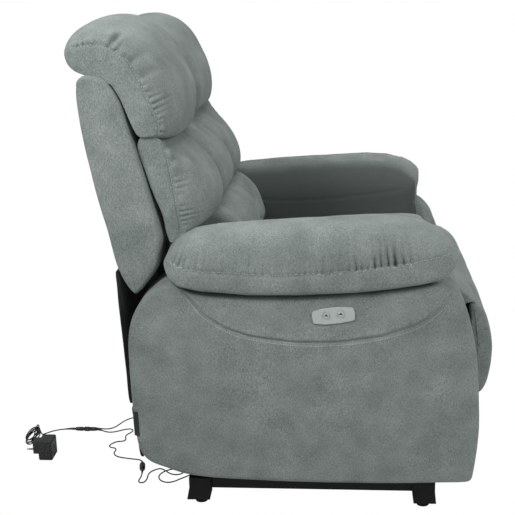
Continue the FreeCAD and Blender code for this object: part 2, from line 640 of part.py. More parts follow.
def turned(name, profile, base, direction):
    """Solid of revolution about its own X axis from (distance, radius) steps."""
    body = new_body(name)
    sketch = new_sketch(body, name + "_profile", "XY_Plane")
    steps = [(profile[0][0], 0.0)] + list(profile) + [(profile[-1][0], 0.0)]
    polygon(sketch, steps)
    spin = body.newObject("PartDesign::Revolution", name + "_spin")
    spin.Profile = sketch
    spin.ReferenceAxis = (plane_of(body, "X_Axis"), [""])
    spin.Angle = 360.0
    body.Placement = FreeCAD.Placement(V(*base), FreeCAD.Rotation(V(1, 0, 0), V(*direction)))
    return keep(body, name)


SPLITTER_START = (-561.0, -11.5, 6.2)
turned("cord_splitter", [(0, 2.4), (10, 3.0), (12, 4.4), (30, 5.4), (31, 4.6), (34, 4.6), (35, 5.8),
                         (46, 5.8), (47, 5.0), (58, 5.0), (66, 4.4)], SPLITTER_START, (1, 0, 0))
INLINE_START = (-344.0, -188.0, 7.2)
INLINE_END = (-337.0, -227.0, 7.2)
inline_long = math.hypot(INLINE_END[0] - INLINE_START[0], INLINE_END[1] - INLINE_START[1])
turned("inline_connector", [(0, 2.6), (5, 3.4), (8, 6.2), (19, 6.8), (20, 5.8), (22, 5.8), (23, 6.8),
                            (32, 6.2), (35, 3.4), (inline_long, 2.6)], INLINE_START,
       (INLINE_END[0] - INLINE_START[0], INLINE_END[1] - INLINE_START[1], 0))


def cord_tube(name, route):
    """Round tube along straight runs joined by tangent arcs."""
    points = [V(*p) for p in route]
    count = len(points)
    runs = [points[i + 1].sub(points[i]) for i in range(count - 1)]
    edges = []
    radii = []
    last = points[0]
    for i in range(1, count - 1):
        a, b = runs[i - 1], runs[i]
        turn = a.getAngle(b)
        setback = 0.45 * min(a.Length, b.Length)
        radius = setback / math.tan(turn / 2)
        radii.append(radius)
        start = points[i].sub(V(a).normalize() * setback)
        finish = points[i].add(V(b).normalize() * setback)
        inward = V(b).normalize().sub(V(a).normalize()).normalize()
        # middle of the arc: corner plus (distance to centre minus radius)
        to_centre = radius / math.cos(turn / 2)
        middle = points[i].add(inward * (to_centre - radius))
        edges.append(Part.LineSegment(last, start).toShape())
        edges.append(Part.Arc(start, middle, finish).toShape())
        last = finish
    edges.append(Part.LineSegment(last, points[-1]).toShape())
    path = Part.Wire(edges)
    r = dim("cord_radius")
    ring = Part.Wire([Part.makeCircle(r, points[0], runs[0])])
    solid = path.makePipeShell([ring], True, False)
    tube = doc.addObject("Part::Feature", name)
    tube.Shape = solid
    expected = math.pi * r * r * path.Length
    longest = max(run.Length for run in runs)
    print("%s length %.0f mm, volume ratio %.3f, radii %.1f to %.1f, longest run %.0f" % (
        name, path.Length, tube.Shape.Volume / expected, min(radii), max(radii), longest))
    print("   radii", " ".join("%.0f" % x for x in radii))
    return keep(tube, name)


FLOOR_Z = 1.6
COIL_FRONT = -630.0


def on_floor(*pairs):
    return [(x, y, FLOOR_Z) for x, y in pairs]


LEAD_IN = [(-585, -122, 12), (-586, -111, 11.4), (-590, -101, 8.6), (-598, -93.5, 5),
           (-608, -89.5, 2.6), (-619, -88.5, 2), (COIL_FRONT, -89.5, 2)]
LEAD_OUT = [(COIL_FRONT, -40, 2), (-622, -31, 2), (-613, -21, 1.6), (-601, -12, 1.6), (-587, -7.5, 1.9),
            (-573, -9, 4.2), (-561, -11.5, 6.2)]
CORD_A = ([(-495, -9, 6.2), (-484, -7.8, 5.2), (-473, -4.5, 2.9), (-462, 1.5, 1.6)] +
          on_floor((-452, 12), (-446, 26), (-440, 41), (-431, 56), (-417, 68), (-399, 76), (-379, 79),
                   (-358, 78), (-336, 73), (-314, 65), (-293, 55), (-273, 44), (-254, 34)) +
          [(-238, 27, 3), (-225, 22.5, 9), (-214, 20, 18), (-204, 18.7, 28.5), (-193, 18, 36.5),
           (-182.5, 18, 41), (GLAND_TIP, CORD_GATE_Y, CORD_GATE_Z)])
CORD_B_OUTER = ([(-495, -14, 6.2), (-484, -15.2, 5), (-473, -17.8, 2.6)] +
                on_floor((-462, -20), (-449, -17.5), (-436, -9.5), (-423, -1), (-409, 1), (-402, -9),
                         (-407, -21), (-415, -33), (-415, -47), (-410, -59), (-416, -69), (-430, -70),
                         (-440, -80), (-446, -93), (-440, -103), (-428, -105), (-423, -116), (-426, -130),
                         (-420, -144), (-407, -153), (-390, -157), (-372, -161)) +
                [(-358, -166.5, 3.4), (-349, -175.5, 6.2), (INLINE_START[0], INLINE_START[1], 7.2)])
CORD_B_INNER = ([(INLINE_END[0], INLINE_END[1], 7.2), (-335.5, -238, 5.4), (-336, -250, 2.4)] +
                on_floor((-339, -263), (-336, -274), (-326, -274), (-321, -262), (-321, -248), (-322, -234),
                         (-318, -221)) +
                [(-307, -214, 3.6), (-296, -216.5, 7.8), (-283, -226, 7.8), (-272, -233, 3.6)] +
                on_floor((-259, -235), (-246, -231), (-240, -220), (-248, -209), (-263, -206), (-278, -211),
                         (-290, -223), (-296, -238), (-294, -254), (-284, -267), (-269, -272), (-255, -265),
                         (-244, -253), (-232, -242), (-221, -231), (-213, -216), (-210, -198), (-212, -179),
                         (-217, -160), (-224, -142), (-232, -125), (-243, -109), (-253, -92), (-260, -74),
                         (-260, -55), (-252, -40)) +
                [(-238, -30, 3), (-225, -24, 9), (-214, -20.5, 18), (-204, -18.8, 28.5), (-193, -18, 36.5),
                 (-182.5, -18, 41), (GLAND_TIP, -CORD_GATE_Y, CORD_GATE_Z)])

cord_tube("adapter_lead_near", LEAD_IN)
cord_tube("adapter_lead_far", LEAD_OUT)
cord_tube("cord_a", CORD_A)
cord_tube("cord_b_outer", CORD_B_OUTER)
cord_tube("cord_b_inner", CORD_B_INNER)

# tied hank of spare lead: one closed solid of its outer shape, waisted where it is tied
hank = new_body("adapter_lead_hank")
plan = new_sketch(hank, "adapter_lead_hank_plan", "XY_Plane")
polygon(plan, [(-630, -96), (-630, -30), (-634, -14), (-641, -6), (-653, -6), (-660, -14), (-664, -32),
               (-661, -52), (-661, -62), (-664, -80), (-661, -96), (-654, -105), (-641, -105), (-634, -102)])
pad(hank, plan, 17.0, middle=False)
hank.Placement = FreeCAD.Placement(V(0, 0, 0.1), FreeCAD.Rotation())
keep(hank, "adapter_lead_hank")

# ---------------------------------------------------------------- checks and output
doc.recompute()
for obj in doc.Objects:
    for word in ("Invalid", "Error"):
        if word in obj.State:
            raise RuntimeError("%s is %s" % (obj.Name, obj.State))
for label, obj in nodes.items():
    shape = obj.Shape
    if shape.isNull() or not shape.isValid():
        raise RuntimeError("bad shape in " + label)
    if len(shape.Solids) != 1:
        raise RuntimeError("%s has %d solids" % (label, len(shape.Solids)))

os.makedirs("parts", exist_ok=True)
for label, obj in nodes.items():
    obj.Shape.exportStep("parts/%s.step" % label)
print("wrote", len(nodes), "parts")
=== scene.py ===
"""Looks of the power lift recliner armchair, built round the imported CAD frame."""

import math

import bmesh
import bpy
import numpy as np
from mathutils import Matrix, Vector, noise
from mathutils.bvhtree import BVHTree


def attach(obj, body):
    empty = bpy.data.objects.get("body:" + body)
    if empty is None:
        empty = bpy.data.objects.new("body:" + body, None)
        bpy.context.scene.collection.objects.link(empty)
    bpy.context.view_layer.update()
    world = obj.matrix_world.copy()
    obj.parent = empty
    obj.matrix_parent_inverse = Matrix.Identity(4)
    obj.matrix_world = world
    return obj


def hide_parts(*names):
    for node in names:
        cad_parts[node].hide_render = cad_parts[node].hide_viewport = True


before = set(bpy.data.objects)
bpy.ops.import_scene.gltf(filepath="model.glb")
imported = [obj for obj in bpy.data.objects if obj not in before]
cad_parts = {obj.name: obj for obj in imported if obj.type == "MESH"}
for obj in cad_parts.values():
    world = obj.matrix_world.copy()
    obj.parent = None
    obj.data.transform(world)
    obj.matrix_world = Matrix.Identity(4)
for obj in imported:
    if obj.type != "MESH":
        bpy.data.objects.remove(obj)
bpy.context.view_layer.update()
MM = 0.001
scene = bpy.context.scene
scene.view_settings.view_transform = "Standard"
scene.view_settings.look = "None"

# ------------------------------------------------------------------ camera
AZIMUTH = math.radians(4.995)
ELEVATION = math.radians(16.073)
ROLL = math.radians(-1.485)
CAMERA_AT = Vector((0.125, -2.298, 1.120))
FOCAL_IN_WIDTHS = 1.9495

back = Vector((math.sin(AZIMUTH) * math.cos(ELEVATION), -math.cos(AZIMUTH) * math.cos(ELEVATION),
               math.sin(ELEVATION)))
level = (-back).cross(Vector((0, 0, 1))).normalized()
upright = level.cross(-back)
cam_x = level * math.cos(ROLL) + upright * math.sin(ROLL)
cam_y = upright * math.cos(ROLL) - level * math.sin(ROLL)
camera_data = bpy.data.cameras.new("camera")
camera_data.sensor_width = 36.0
camera_data.lens = 36.0 * FOCAL_IN_WIDTHS
camera = bpy.data.objects.new("camera", camera_data)
camera.matrix_world = Matrix.Translation(CAMERA_AT) @ Matrix(
    (cam_x, cam_y, back)).transposed().to_4x4()
scene.collection.objects.link(camera)
scene.camera = camera


# ------------------------------------------------------------------ materials
def tree_of(name):
    material = bpy.data.materials.new(name)
    material.use_nodes = True
    nodes = material.node_tree.nodes
    shader = nodes["Principled BSDF"]
    return material, nodes, material.node_tree.links, shader


def noise_node(nodes, links, coords, scale, detail=2.0, rough=0.5, stretch=None):
    tex = nodes.new("ShaderNodeTexNoise")
    tex.inputs["Scale"].default_value = scale
    tex.inputs["Detail"].default_value = detail
    tex.inputs["Roughness"].default_value = rough
    source = coords.outputs["Object"]
    if stretch:
        mapping = nodes.new("ShaderNodeMapping")
        mapping.inputs["Scale"].default_value = stretch
        links.new(source, mapping.inputs["Vector"])
        source = mapping.outputs["Vector"]
    links.new(source, tex.inputs["Vector"])
    return tex


def two_tone(nodes, links, source, dark, light, low=0.3, high=0.7):
    """Noise turned into a blend from a dark colour to a light one."""
    ramp = nodes.new("ShaderNodeValToRGB")
    for element, place, colour in zip(ramp.color_ramp.elements, (low, high), (dark, light)):
        element.position = place
        element.color = (*colour, 1.0)
    links.new(source.outputs["Fac"], ramp.inputs["Fac"])
    return ramp.outputs["Color"]


def mix_node(nodes, links, a, b, factor, blend="MIX"):
    mix = nodes.new("ShaderNodeMix")
    mix.data_type = "RGBA"
    mix.blend_type = blend
    if isinstance(factor, float):
        mix.inputs[0].default_value = factor
    else:
        links.new(factor, mix.inputs[0])
    for socket, value in ((mix.inputs[6], a), (mix.inputs[7], b)):
        if isinstance(value, tuple):
            socket.default_value = (*value, 1.0)
        else:
            links.new(value, socket)
    return mix.outputs[2]


def shade(colour, k):
    return tuple(c * k for c in colour)


def set_sockets(node, values):
    for socket, value in values.items():
        node.inputs[socket].default_value = value


def roughen(nodes, links, shader, height, strength, distance):
    """Bump the shader's normal with a height output."""
    node = nodes.new("ShaderNodeBump")
    set_sockets(node, {"Strength": strength, "Distance": distance})
    links.new(height, node.inputs["Height"])
    links.new(node.outputs["Normal"], shader.inputs["Normal"])


CLOTH_LOOK = {"Roughness": 0.95, "Specular IOR Level": 0.12, "Sheen Weight": 0.16, "Sheen Roughness": 0.45,
              "Sheen Tint": (0.80, 0.88, 0.86, 1.0)}
PATCH_DARK = (0.72, 0.74, 0.74)
PATCH_LIGHT = (1.16, 1.14, 1.14)
MOTTLE = 0.6
# painted shade: how dark the cloth is made on the sides facing the seat
SEAT_SIDE_SHADE_TONE = 0.30


def fabric(name, colour, contrast=1.0, bump=0.35):
    """Short brushed pile: fine mottling, soft cloudy patches where the pile lies differently."""
    material, nodes, links, shader = tree_of(name)
    coords = nodes.new("ShaderNodeTexCoord")
    grain = noise_node(nodes, links, coords, 820.0, 2.0, 0.6)
    slub = noise_node(nodes, links, coords, 520.0, 3.0, 0.6, (1.0, 1.0, 0.45))
    cloud = noise_node(nodes, links, coords, 15.0, 5.0, 0.62)
    low, high = 1.0 - MOTTLE * contrast, 1.0 + MOTTLE * contrast
    fine = two_tone(nodes, links, grain, shade(colour, low), shade(colour, high))
    mid = two_tone(nodes, links, slub, shade(colour, low + 0.04), shade(colour, high + 0.02), 0.28, 0.72)
    mixed = mix_node(nodes, links, fine, mid, 0.5)
    patches = two_tone(nodes, links, cloud, PATCH_DARK, PATCH_LIGHT, 0.32, 0.68)
    clouded = mix_node(nodes, links, mixed, patches, 0.85, "MULTIPLY")
    # painted shade: a per-vertex weight mixes in a darker copy of the cloth colour on the seat-facing sides
    seat_side_shade = nodes.new("ShaderNodeAttribute")
    seat_side_shade.attribute_name = "seat_side_shade"
    final = mix_node(nodes, links, clouded, shade(colour, SEAT_SIDE_SHADE_TONE), seat_side_shade.outputs["Fac"])
    links.new(final, shader.inputs["Base Color"])
    set_sockets(shader, CLOTH_LOOK)
    height = nodes.new("ShaderNodeMath")
    height.operation = "ADD"
    links.new(grain.outputs["Fac"], height.inputs[0])
    links.new(slub.outputs["Fac"], height.inputs[1])
    roughen(nodes, links, shader, height.outputs[0], bump, 0.0012)
    return material


def hard(name, colour, roughness, metallic=0.0, grain=300.0, bump=0.08, vary=0.12, wear=0.08, shine=0.5):
    """Painted metal or moulded plastic with fine texture, faint blotches and uneven gloss."""
    material, nodes, links, shader = tree_of(name)
    coords = nodes.new("ShaderNodeTexCoord")
    fine = noise_node(nodes, links, coords, grain, 3.0, 0.6)
    broad = noise_node(nodes, links, coords, 22.0, 4.0, 0.6)
    tone = two_tone(nodes, links, broad, shade(colour, 1.0 - vary), shade(colour, 1.0 + vary))
    links.new(tone, shader.inputs["Base Color"])
    gloss = nodes.new("ShaderNodeMapRange")
    set_sockets(gloss, {"To Min": roughness - wear, "To Max": roughness + wear})
    links.new(broad.outputs["Fac"], gloss.inputs["Value"])
    links.new(gloss.outputs["Result"], shader.inputs["Roughness"])
    set_sockets(shader, {"Metallic": metallic, "Specular IOR Level": shine})
    roughen(nodes, links, shader, fine.outputs["Fac"], bump, 0.0004)
    return material


def plywood(name):
    material, nodes, links, shader = tree_of(name)
    coords = nodes.new("ShaderNodeTexCoord")
    grain = noise_node(nodes, links, coords, 16.0, 6.0, 0.6, (1.0, 9.0, 14.0))
    pore = noise_node(nodes, links, coords, 260.0, 2.0, 0.5, (0.15, 1.0, 1.0))
    tone = two_tone(nodes, links, grain, (0.36, 0.23, 0.12), (0.60, 0.43, 0.25))
    final = mix_node(nodes, links, tone, pore.outputs["Color"], 0.06)
    links.new(final, shader.inputs["Base Color"])
    set_sockets(shader, {"Roughness": 0.62})
    return material


CLOTH_COLOUR = (0.186, 0.212, 0.202)
MATERIALS = {
    "cloth": fabric("brushed_cloth", CLOTH_COLOUR),
    "lining": fabric("black_lining", (0.018, 0.019, 0.018), 0.6, 0.2),
    "thread": fabric("seam_thread", (0.34, 0.39, 0.37), 0.3, 0.1),
    "label": fabric("woven_label", (0.030, 0.036, 0.034), 0.8, 0.3),
    "base": hard("black_base_paint", (0.007, 0.008, 0.007), 0.45, 0.0, 500.0, 0.10, shine=0.2),
    "steel": hard("black_powder_coat", (0.045, 0.045, 0.048), 0.5, 0.1, 900.0, 0.16),
    "bright": hard("bright_steel", (0.52, 0.53, 0.55), 0.28, 1.0, 1200.0, 0.05, 0.05),
    "foot": hard("foot_plastic", (0.006, 0.007, 0.006), 0.55, 0.0, 700.0, 0.10, shine=0.2),
    "motor": hard("motor_housing", (0.028, 0.028, 0.030), 0.5, 0.0, 600.0, 0.12),
    "wood": plywood("plywood"),
    "plate": hard("plate_plastic", (0.360, 0.400, 0.388), 0.42, 0.0, 900.0, 0.05, 0.05),
    "button": hard("button_plastic", (0.400, 0.440, 0.425), 0.32, 0.0, 900.0, 0.03, 0.04),
    "mark": hard("printed_mark", (0.020, 0.024, 0.022), 0.5, 0.0, 900.0, 0.02, 0.05),
    "adapter": hard("adapter_plastic", (0.021, 0.024, 0.023), 0.48, 0.0, 800.0, 0.12, 0.15),
    "pin": hard("nickel_pin", (0.42, 0.43, 0.43), 0.30, 1.0, 1500.0, 0.04, 0.06),
    "cord": hard("cord_jacket", (0.016, 0.020, 0.019), 0.5, 0.0, 700.0, 0.08, 0.15),
}


def paint(obj, key):
    obj.data.materials.clear()
    obj.data.materials.append(MATERIALS[key])


# ------------------------------------------------------------------ curve and mesh help
SIDES = (("left", 1), ("right", -1))


def hermite(start, end, leave, arrive, count):
    """Points of a cubic piece between two ends with these tangents, without its end point."""
    t = np.linspace(0, 1, count, endpoint=False)[:, None]
    begin = (2 * t**3 - 3 * t**2 + 1) * start + (t**3 - 2 * t**2 + t) * leave
    return begin + ((-2 * t**3 + 3 * t**2) * end + (t**3 - t**2) * arrive)


def walk(points):
    """Distance along a polyline at each of its points."""
    return np.concatenate([[0], np.cumsum(np.linalg.norm(np.diff(points, axis=0), axis=1))])


def at_distances(points, want):
    walked = walk(points)
    return np.stack([np.interp(want, walked, points[:, i]) for i in range(points.shape[1])], 1)


def resample(points, count, closed):
    p = np.asarray(points, float)
    if closed:
        p = np.vstack([p, p[:1]])
    return at_distances(p, np.linspace(0, walk(p)[-1], count, endpoint=not closed))


def spline_ring(points, count):
    """Closed smooth curve through the points, evenly resampled."""
    p = np.asarray(points, float)
    fine = []
    for i in range(len(p)):
        a, b, c, d = (p[(i + k) % len(p)] for k in (-1, 0, 1, 2))
        ta, tb, tc = (math.sqrt(np.linalg.norm(v)) + 1e-6 for v in (b - a, c - b, d - c))
        leave = (c - b) + tb * ((b - a) / ta - (c - a) / (ta + tb))
        arrive = (c - b) + tb * ((d - c) / tc - (d - b) / (tb + tc))
        fine.append(hermite(b, c, leave, arrive, 24))
    return resample(np.vstack(fine), count, True)


def open_spline(points, count):
    """Smooth open curve through the points, evenly resampled."""
    p = np.asarray(points, float)
    p = np.vstack([2 * p[0] - p[1], p, 2 * p[-1] - p[-2]])
    fine = [hermite(b, c, (c - a) / 2, (d - b) / 2, 20) for a, b, c, d in zip(p, p[1:], p[2:], p[3:])]
    return resample(np.vstack(fine + [p[-2:-1]]), count, False)


def across(line, y):
    """An (x, z) line set at one distance to the side."""
    return [(x, y, z) for x, z in line]


def ring_at(flat, y):
    return np.stack([flat[:, 0], np.full(len(flat), y), flat[:, 1]], 1)


def circle(centre, side, other, radius, count):
    turns = [2 * math.pi * k / count for k in range(count)]
    return [centre + (side * math.cos(a) + other * math.sin(a)) * radius for a in turns]


def smooth(x, a, b):
    t = np.clip((np.asarray(x, float) - a) / (b - a), 0, 1)
    return t * t * (3 - 2 * t)


def bell(x, width):
    return np.exp(-(np.asarray(x, float) / width) ** 2)


def lumps(points, size, seed=0.0):
    """Smooth noise at each point, about -1 to 1, with bumps of this size in mm."""
    flat = points.reshape(-1, 3) / size
    shift = Vector((seed * 7.31, seed * 3.17, seed * 5.77))
    values = [noise.noise(Vector(q) + shift) for q in flat]
    return np.array(values).reshape(points.shape[:-1])


def grid_normals(grid):
    """Outward normals of a grid whose columns close on themselves."""
    du = np.roll(grid, -1, axis=1) - np.roll(grid, 1, axis=1)
    dv = np.gradient(grid, axis=0)
    n = np.cross(du, dv)
    n /= np.linalg.norm(n, axis=2, keepdims=True) + 1e-9
    middle = grid.reshape(-1, 3).mean(0)
    if np.sum(n * (grid - middle)) < 0:
        n = -n
    return n


def linked(name, data, material):
    obj = bpy.data.objects.new(name, data)
    scene.collection.objects.link(obj)
    paint(obj, material)
    return obj


def placed(obj, body):
    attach(obj, body)
    return obj


def mesh_object(name, vertices, faces, material, smooth_faces=True):
    mesh = bpy.data.meshes.new(name)
    mesh.from_pydata([tuple(v) for v in vertices], [], faces)
    mesh.update()
    bm = bmesh.new()
    bm.from_mesh(mesh)
    bmesh.ops.recalc_face_normals(bm, faces=bm.faces)
    bm.to_mesh(mesh)
    bm.free()
    mesh.polygons.foreach_set("use_smooth", [smooth_faces] * len(mesh.polygons))
    return linked(name, mesh, material)


def grid_object(name, grid, material):
    """Closed solid from rings; the first and last ring are closed by a point."""
    rows, cols = grid.shape[:2]
    vertices = np.vstack([grid.reshape(-1, 3), grid[0].mean(0), grid[-1].mean(0)]) * MM
    last_row = (rows - 1) * cols
    first_tip, last_tip = rows * cols, rows * cols + 1
    ahead = [(c, (c + 1) % cols) for c in range(cols)]
    faces = [(r + c, r + d, r + cols + d, r + cols + c) for r in range(0, last_row, cols) for c, d in ahead]
    for c, d in ahead:
        faces.append((d, c, first_tip))
        faces.append((last_row + c, last_row + d, last_tip))
    return mesh_object(name, vertices, faces, material)


def closing(ring, rows, crown, low):
    """Rows that carry a ring inwards to a small one, bulging along y by the crown (mm)."""
    middle = ring.mean(0)
    inwards = []
    for share in np.linspace(1, low, rows + 1)[1:]:
        row = middle + (ring - middle) * share
        row[:, 1] = ring[:, 1] * share + middle[1] * (1 - share) + crown * (1 - share**2)
        inwards.append(row)
    return np.array(inwards)


def end_faces(rings, rows, crown, low=0.006):
    """The rings with both ends closed by slightly crowned faces."""
    side = np.sign(rings[-1][:, 1].mean() - rings[0][:, 1].mean())
    start = closing(rings[0], rows, -side * crown, low)[::-1]
    return np.concatenate([start, rings, closing(rings[-1], rows, side * crown, low)])


def rounded_rows(inner, outer, radius, steps, straight):
    """(y, inset) pairs from the middle of a slab round its outer edge."""
    rows = [(y, 0.0) for y in np.linspace(inner, outer - radius, straight)]
    for step in range(1, steps + 1):
        angle = step / steps * math.pi / 2
        rows.append((outer - radius + radius * math.sin(angle), radius * (1 - math.cos(angle))))
    return rows


def slab_rows(ring, inner, outer, radius, steps, straight):
    """Rings from the middle of a slab to one rounded outer edge."""
    tangent = np.roll(ring, -1, axis=0) - np.roll(ring, 1, axis=0)
    normal = np.stack([tangent[:, 1], -tangent[:, 0]], 1)
    normal /= np.linalg.norm(normal, axis=1, keepdims=True)
    if np.sum(normal * (ring - ring.mean(0))) < 0:
        normal = -normal
    return [ring_at(ring - normal * inset, y) for y, inset in rounded_rows(inner, outer, radius, steps, straight)]


def slab(outline, count, half, edge, steps, straight, face_rows, crown, low=0.006):
    """Symmetric slab with this side outline, rounded edges and closed ends."""
    rows = slab_rows(spline_ring(outline, count), 0.0, half, edge, steps, straight)
    mirrored = [row * np.array([1, -1, 1]) for row in rows[1:]][::-1]
    return end_faces(mirrored + rows, face_rows, crown, low)


def upholster(name, grid, shift, body, nodes, material="cloth"):
    """Soft solid: the grid pushed along its normals by shift (mm), in place of its CAD nodes."""
    obj = grid_object(name, grid + grid_normals(grid) * shift[..., None], material)
    placed(obj, body)
    if nodes:
        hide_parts(*nodes)
    return obj


def distance_to(points, line):
    """Distance of every grid point to a polyline, how far along it, and the offset (mm)."""
    line = np.asarray(line, float)
    best = np.full(points.shape[:-1], 1e9)
    where = np.zeros(points.shape[:-1])
    offset = np.zeros(points.shape)
    walked = 0.0
    for a, b in zip(line[:-1], line[1:]):
        ab = b - a
        length = np.linalg.norm(ab)
        t = np.clip(((points - a) @ ab) / length**2, 0, 1)
        away = points - (a + t[..., None] * ab)
        d = np.linalg.norm(away, axis=-1)
        near = d < best
        best = np.where(near, d, best)
        where = np.where(near, walked + t * length, where)
        offset = np.where(near[..., None], away, offset)
        walked += length
    return best, where, offset


def gathers(d, along, reach, pitch, depth, seed=0.0):
    """Puckers square to a seam: deepest at it, dying out with distance."""
    uneven = np.sin(along / (pitch * 3.7) + seed) * 1.9 + np.sin(along / (pitch * 1.7) + 2.3 * seed) * 0.9
    wave = np.sin(2 * math.pi * along / pitch + uneven)
    strength = 0.55 + 0.35 * np.sin(along / (pitch * 2.6) + seed * 1.9 + 0.7)
    strength += 0.3 * np.sin(along / (pitch * 1.15) + seed)
    length = reach * (0.75 + 0.45 * np.sin(along / (pitch * 0.9) + 2.7 * seed))
    ridges = (0.5 + 0.5 * wave)**1.6 * np.exp(-d / length) * smooth(d, 0.0, 2.5)
    return -depth * np.maximum(strength, 0.0) * ridges


DASH = ((-0.5, 0.35, 0.4), (-0.3, 1.0, 0.0), (0.3, 1.0, 0.0), (0.5, 0.35, 0.4))
DASH_SIDES = 6


def stitches(name, host, line, body, pitch, length, radius, lift):
    """Row of short thread dashes laid on the host's surface along a line (mm)."""
    host.data.update()
    tree = BVHTree.FromPolygons([v.co[:] for v in host.data.vertices],
                                [p.vertices[:] for p in host.data.polygons])
    line = np.asarray(line, float)
    spots = resample(line, max(3, int(walk(line)[-1] / pitch)), False)
    vertices, faces = [], []
    for here, ahead in zip(spots[:-1], spots[1:]):
        place, up = tree.find_nearest(Vector(here) * MM)[:2]
        along = (tree.find_nearest(Vector(ahead) * MM)[0] - place).normalized()
        beside = along.cross(up).normalized()
        base = len(vertices)
        for share, thick, sink in DASH:
            centre = place + up * (lift - sink) * MM + along * (share * length * MM)
            vertices += circle(centre, beside, up, radius * thick * MM, DASH_SIDES)
        last = base + DASH_SIDES * (len(DASH) - 1)
        for ring in range(base, last, DASH_SIDES):
            for q in range(DASH_SIDES):
                w = (q + 1) % DASH_SIDES
                faces.append((ring + q, ring + w, ring + DASH_SIDES + w, ring + DASH_SIDES + q))
        faces.append(tuple(range(base, base + DASH_SIDES)))
        faces.append(tuple(range(last, last + DASH_SIDES)))
    return placed(mesh_object(name, vertices, faces, "thread"), body)


# ------------------------------------------------------------------ cords
CORD_WIDE = 0.003
FLOOR = 1.6


def on_floor(*pairs):
    return [(x, y, FLOOR) for x, y in pairs]


def cord_curve(name, points):
    data = bpy.data.curves.new(name, "CURVE")
    data.dimensions = "3D"
    data.bevel_depth = CORD_WIDE / 2
    data.bevel_resolution = 4
    data.resolution_u = 8
    data.use_fill_caps = True
    line = data.splines.new("NURBS")
    line.points.add(len(points) - 1)
    for point, (x, y, z) in zip(line.points, points):
        point.co = (x * MM, y * MM, z * MM, 1.0)
    line.order_u = 3
    line.use_endpoint_u = True
    return linked(name, data, "cord")


def centre_line(obj):
    """Points along a cord's own spline, in mm."""
    bare = obj.copy()
    bare.data = obj.data.copy()
    bare.data.bevel_depth = 0.0
    scene.collection.objects.link(bare)
    bpy.context.view_layer.update()
    mesh = bpy.data.meshes.new_from_object(bare)
    line = np.array([v.co[:] for v in mesh.vertices]) / MM
    bpy.data.objects.remove(bare)
    return line


def turned(name, start, towards, profile, material, body="base", sides=28):
    """Solid turned about an axis from (distance, radius) steps in mm."""
    axis = (Vector(towards) - Vector(start)).normalized()
    side = axis.orthogonal().normalized()
    other = axis.cross(side)
    rings = [circle(Vector(start) + axis * distance, side, other, radius, sides) for distance, radius in profile]
    return placed(grid_object(name, np.array(rings), material), body)


GLAND_X, GLAND_Y, GLAND_Z = -172.0, 18.0, 42.0
SPLITTER_START = (-561.0, -11.5, 6.2)
INLINE_START = (-344.0, -188.0, 7.2)
INLINE_END = (-337.0, -227.0, 7.2)
COIL_FRONT = -630.0

CORD_A = ([(GLAND_X, GLAND_Y, GLAND_Z), (-182.5, 18, 41), (-193, 18, 36.5), (-204, 18.7, 28.5),
           (-214, 20, 18), (-225, 22.5, 9), (-238, 27, 3)] +
          on_floor((-254, 34), (-273, 44), (-293, 55), (-314, 65), (-336, 73), (-358, 78), (-379, 79),
                   (-399, 76), (-417, 68), (-431, 56), (-440, 41), (-446, 26), (-452, 12)) +
          [(-462, 1.5, 1.6), (-473, -4.5, 2.9), (-484, -7.8, 5.2), (-495, -9, 6.2)])
CORD_B_INNER = ([(GLAND_X, -GLAND_Y, GLAND_Z), (-182.5, -18, 41), (-193, -18, 36.5), (-204, -18.8, 28.5),
                 (-214, -20.5, 18), (-225, -24, 9), (-238, -30, 3)] +
                on_floor((-252, -40), (-260, -55), (-260, -74), (-253, -92), (-243, -109), (-232, -125),
                         (-224, -142), (-217, -160), (-212, -179), (-210, -198), (-213, -216), (-221, -231),
                         (-232, -242), (-244, -253), (-255, -265), (-269, -272), (-284, -267), (-294, -254),
                         (-296, -238), (-290, -223), (-278, -211), (-263, -206), (-248, -209), (-240, -220),
                         (-246, -231), (-259, -235)) +
                [(-272, -233, 3.6), (-283, -226, 7.8), (-296, -216.5, 7.8), (-307, -214, 3.6)] +
                on_floor((-318, -221), (-322, -234), (-321, -248), (-321, -262), (-326, -274), (-336, -274),
                         (-339, -263)) +
                [(-336, -250, 2.4), (-335.5, -238, 5.4), INLINE_END])
CORD_B_OUTER = ([INLINE_START, (-349, -175.5, 6.2), (-358, -166.5, 3.4)] +
                on_floor((-372, -161), (-390, -157), (-407, -153), (-420, -144), (-426, -130), (-423, -116),
                         (-428, -105), (-440, -103), (-446, -93), (-440, -80), (-430, -70), (-416, -69),
                         (-410, -59), (-415, -47), (-415, -33), (-407, -21), (-402, -9), (-409, 1), (-423, -1),
                         (-436, -9.5), (-449, -17.5), (-462, -20)) +
                [(-473, -17.8, 2.6), (-484, -15.2, 5), (-495, -14, 6.2)])
LEAD_OUT = [SPLITTER_START, (-573, -9, 4.2), (-587, -7.5, 1.9), (-601, -12, 1.6), (-613, -21, 1.6),
            (-622, -31, 2), (COIL_FRONT, -40, 2)]
LEAD_IN = [(COIL_FRONT, -89.5, 2), (-619, -88.5, 2), (-608, -89.5, 2.6), (-598, -93.5, 5),
           (-590, -101, 8.6), (-586, -111, 11.4), (-585, -122, 12)]
HANK_TURNS = 5
HANK_STEPS = 14
HANK_MIDDLE = (-647.5, -56.0)


def hank_points():
    """Loose turns of the tied lead, each a little different, from the splitter side to the adapter side."""
    points = []
    total = HANK_TURNS * HANK_STEPS
    for i in range(total + 1):
        turn = i / HANK_STEPS
        angle = 0.35 * math.pi + 2 * math.pi * turn * (1 - 0.02 * math.sin(turn))
        wide = 11.6 + 2.2 * math.sin(1.9 * turn + 0.6)
        long = 39.0 + 5.5 * math.sin(2.7 * turn + 1.1)
        x = HANK_MIDDLE[0] + wide * math.cos(angle) + 1.5 * math.sin(2.3 * turn)
        y = HANK_MIDDLE[1] + long * math.sin(angle) + 2.5 * math.sin(1.3 * turn + 2)
        z = 2.2 + 2.75 * turn + 0.5 * math.sin(2 * angle + turn)
        points.append((x, y, min(z, 15.4)))
    return points


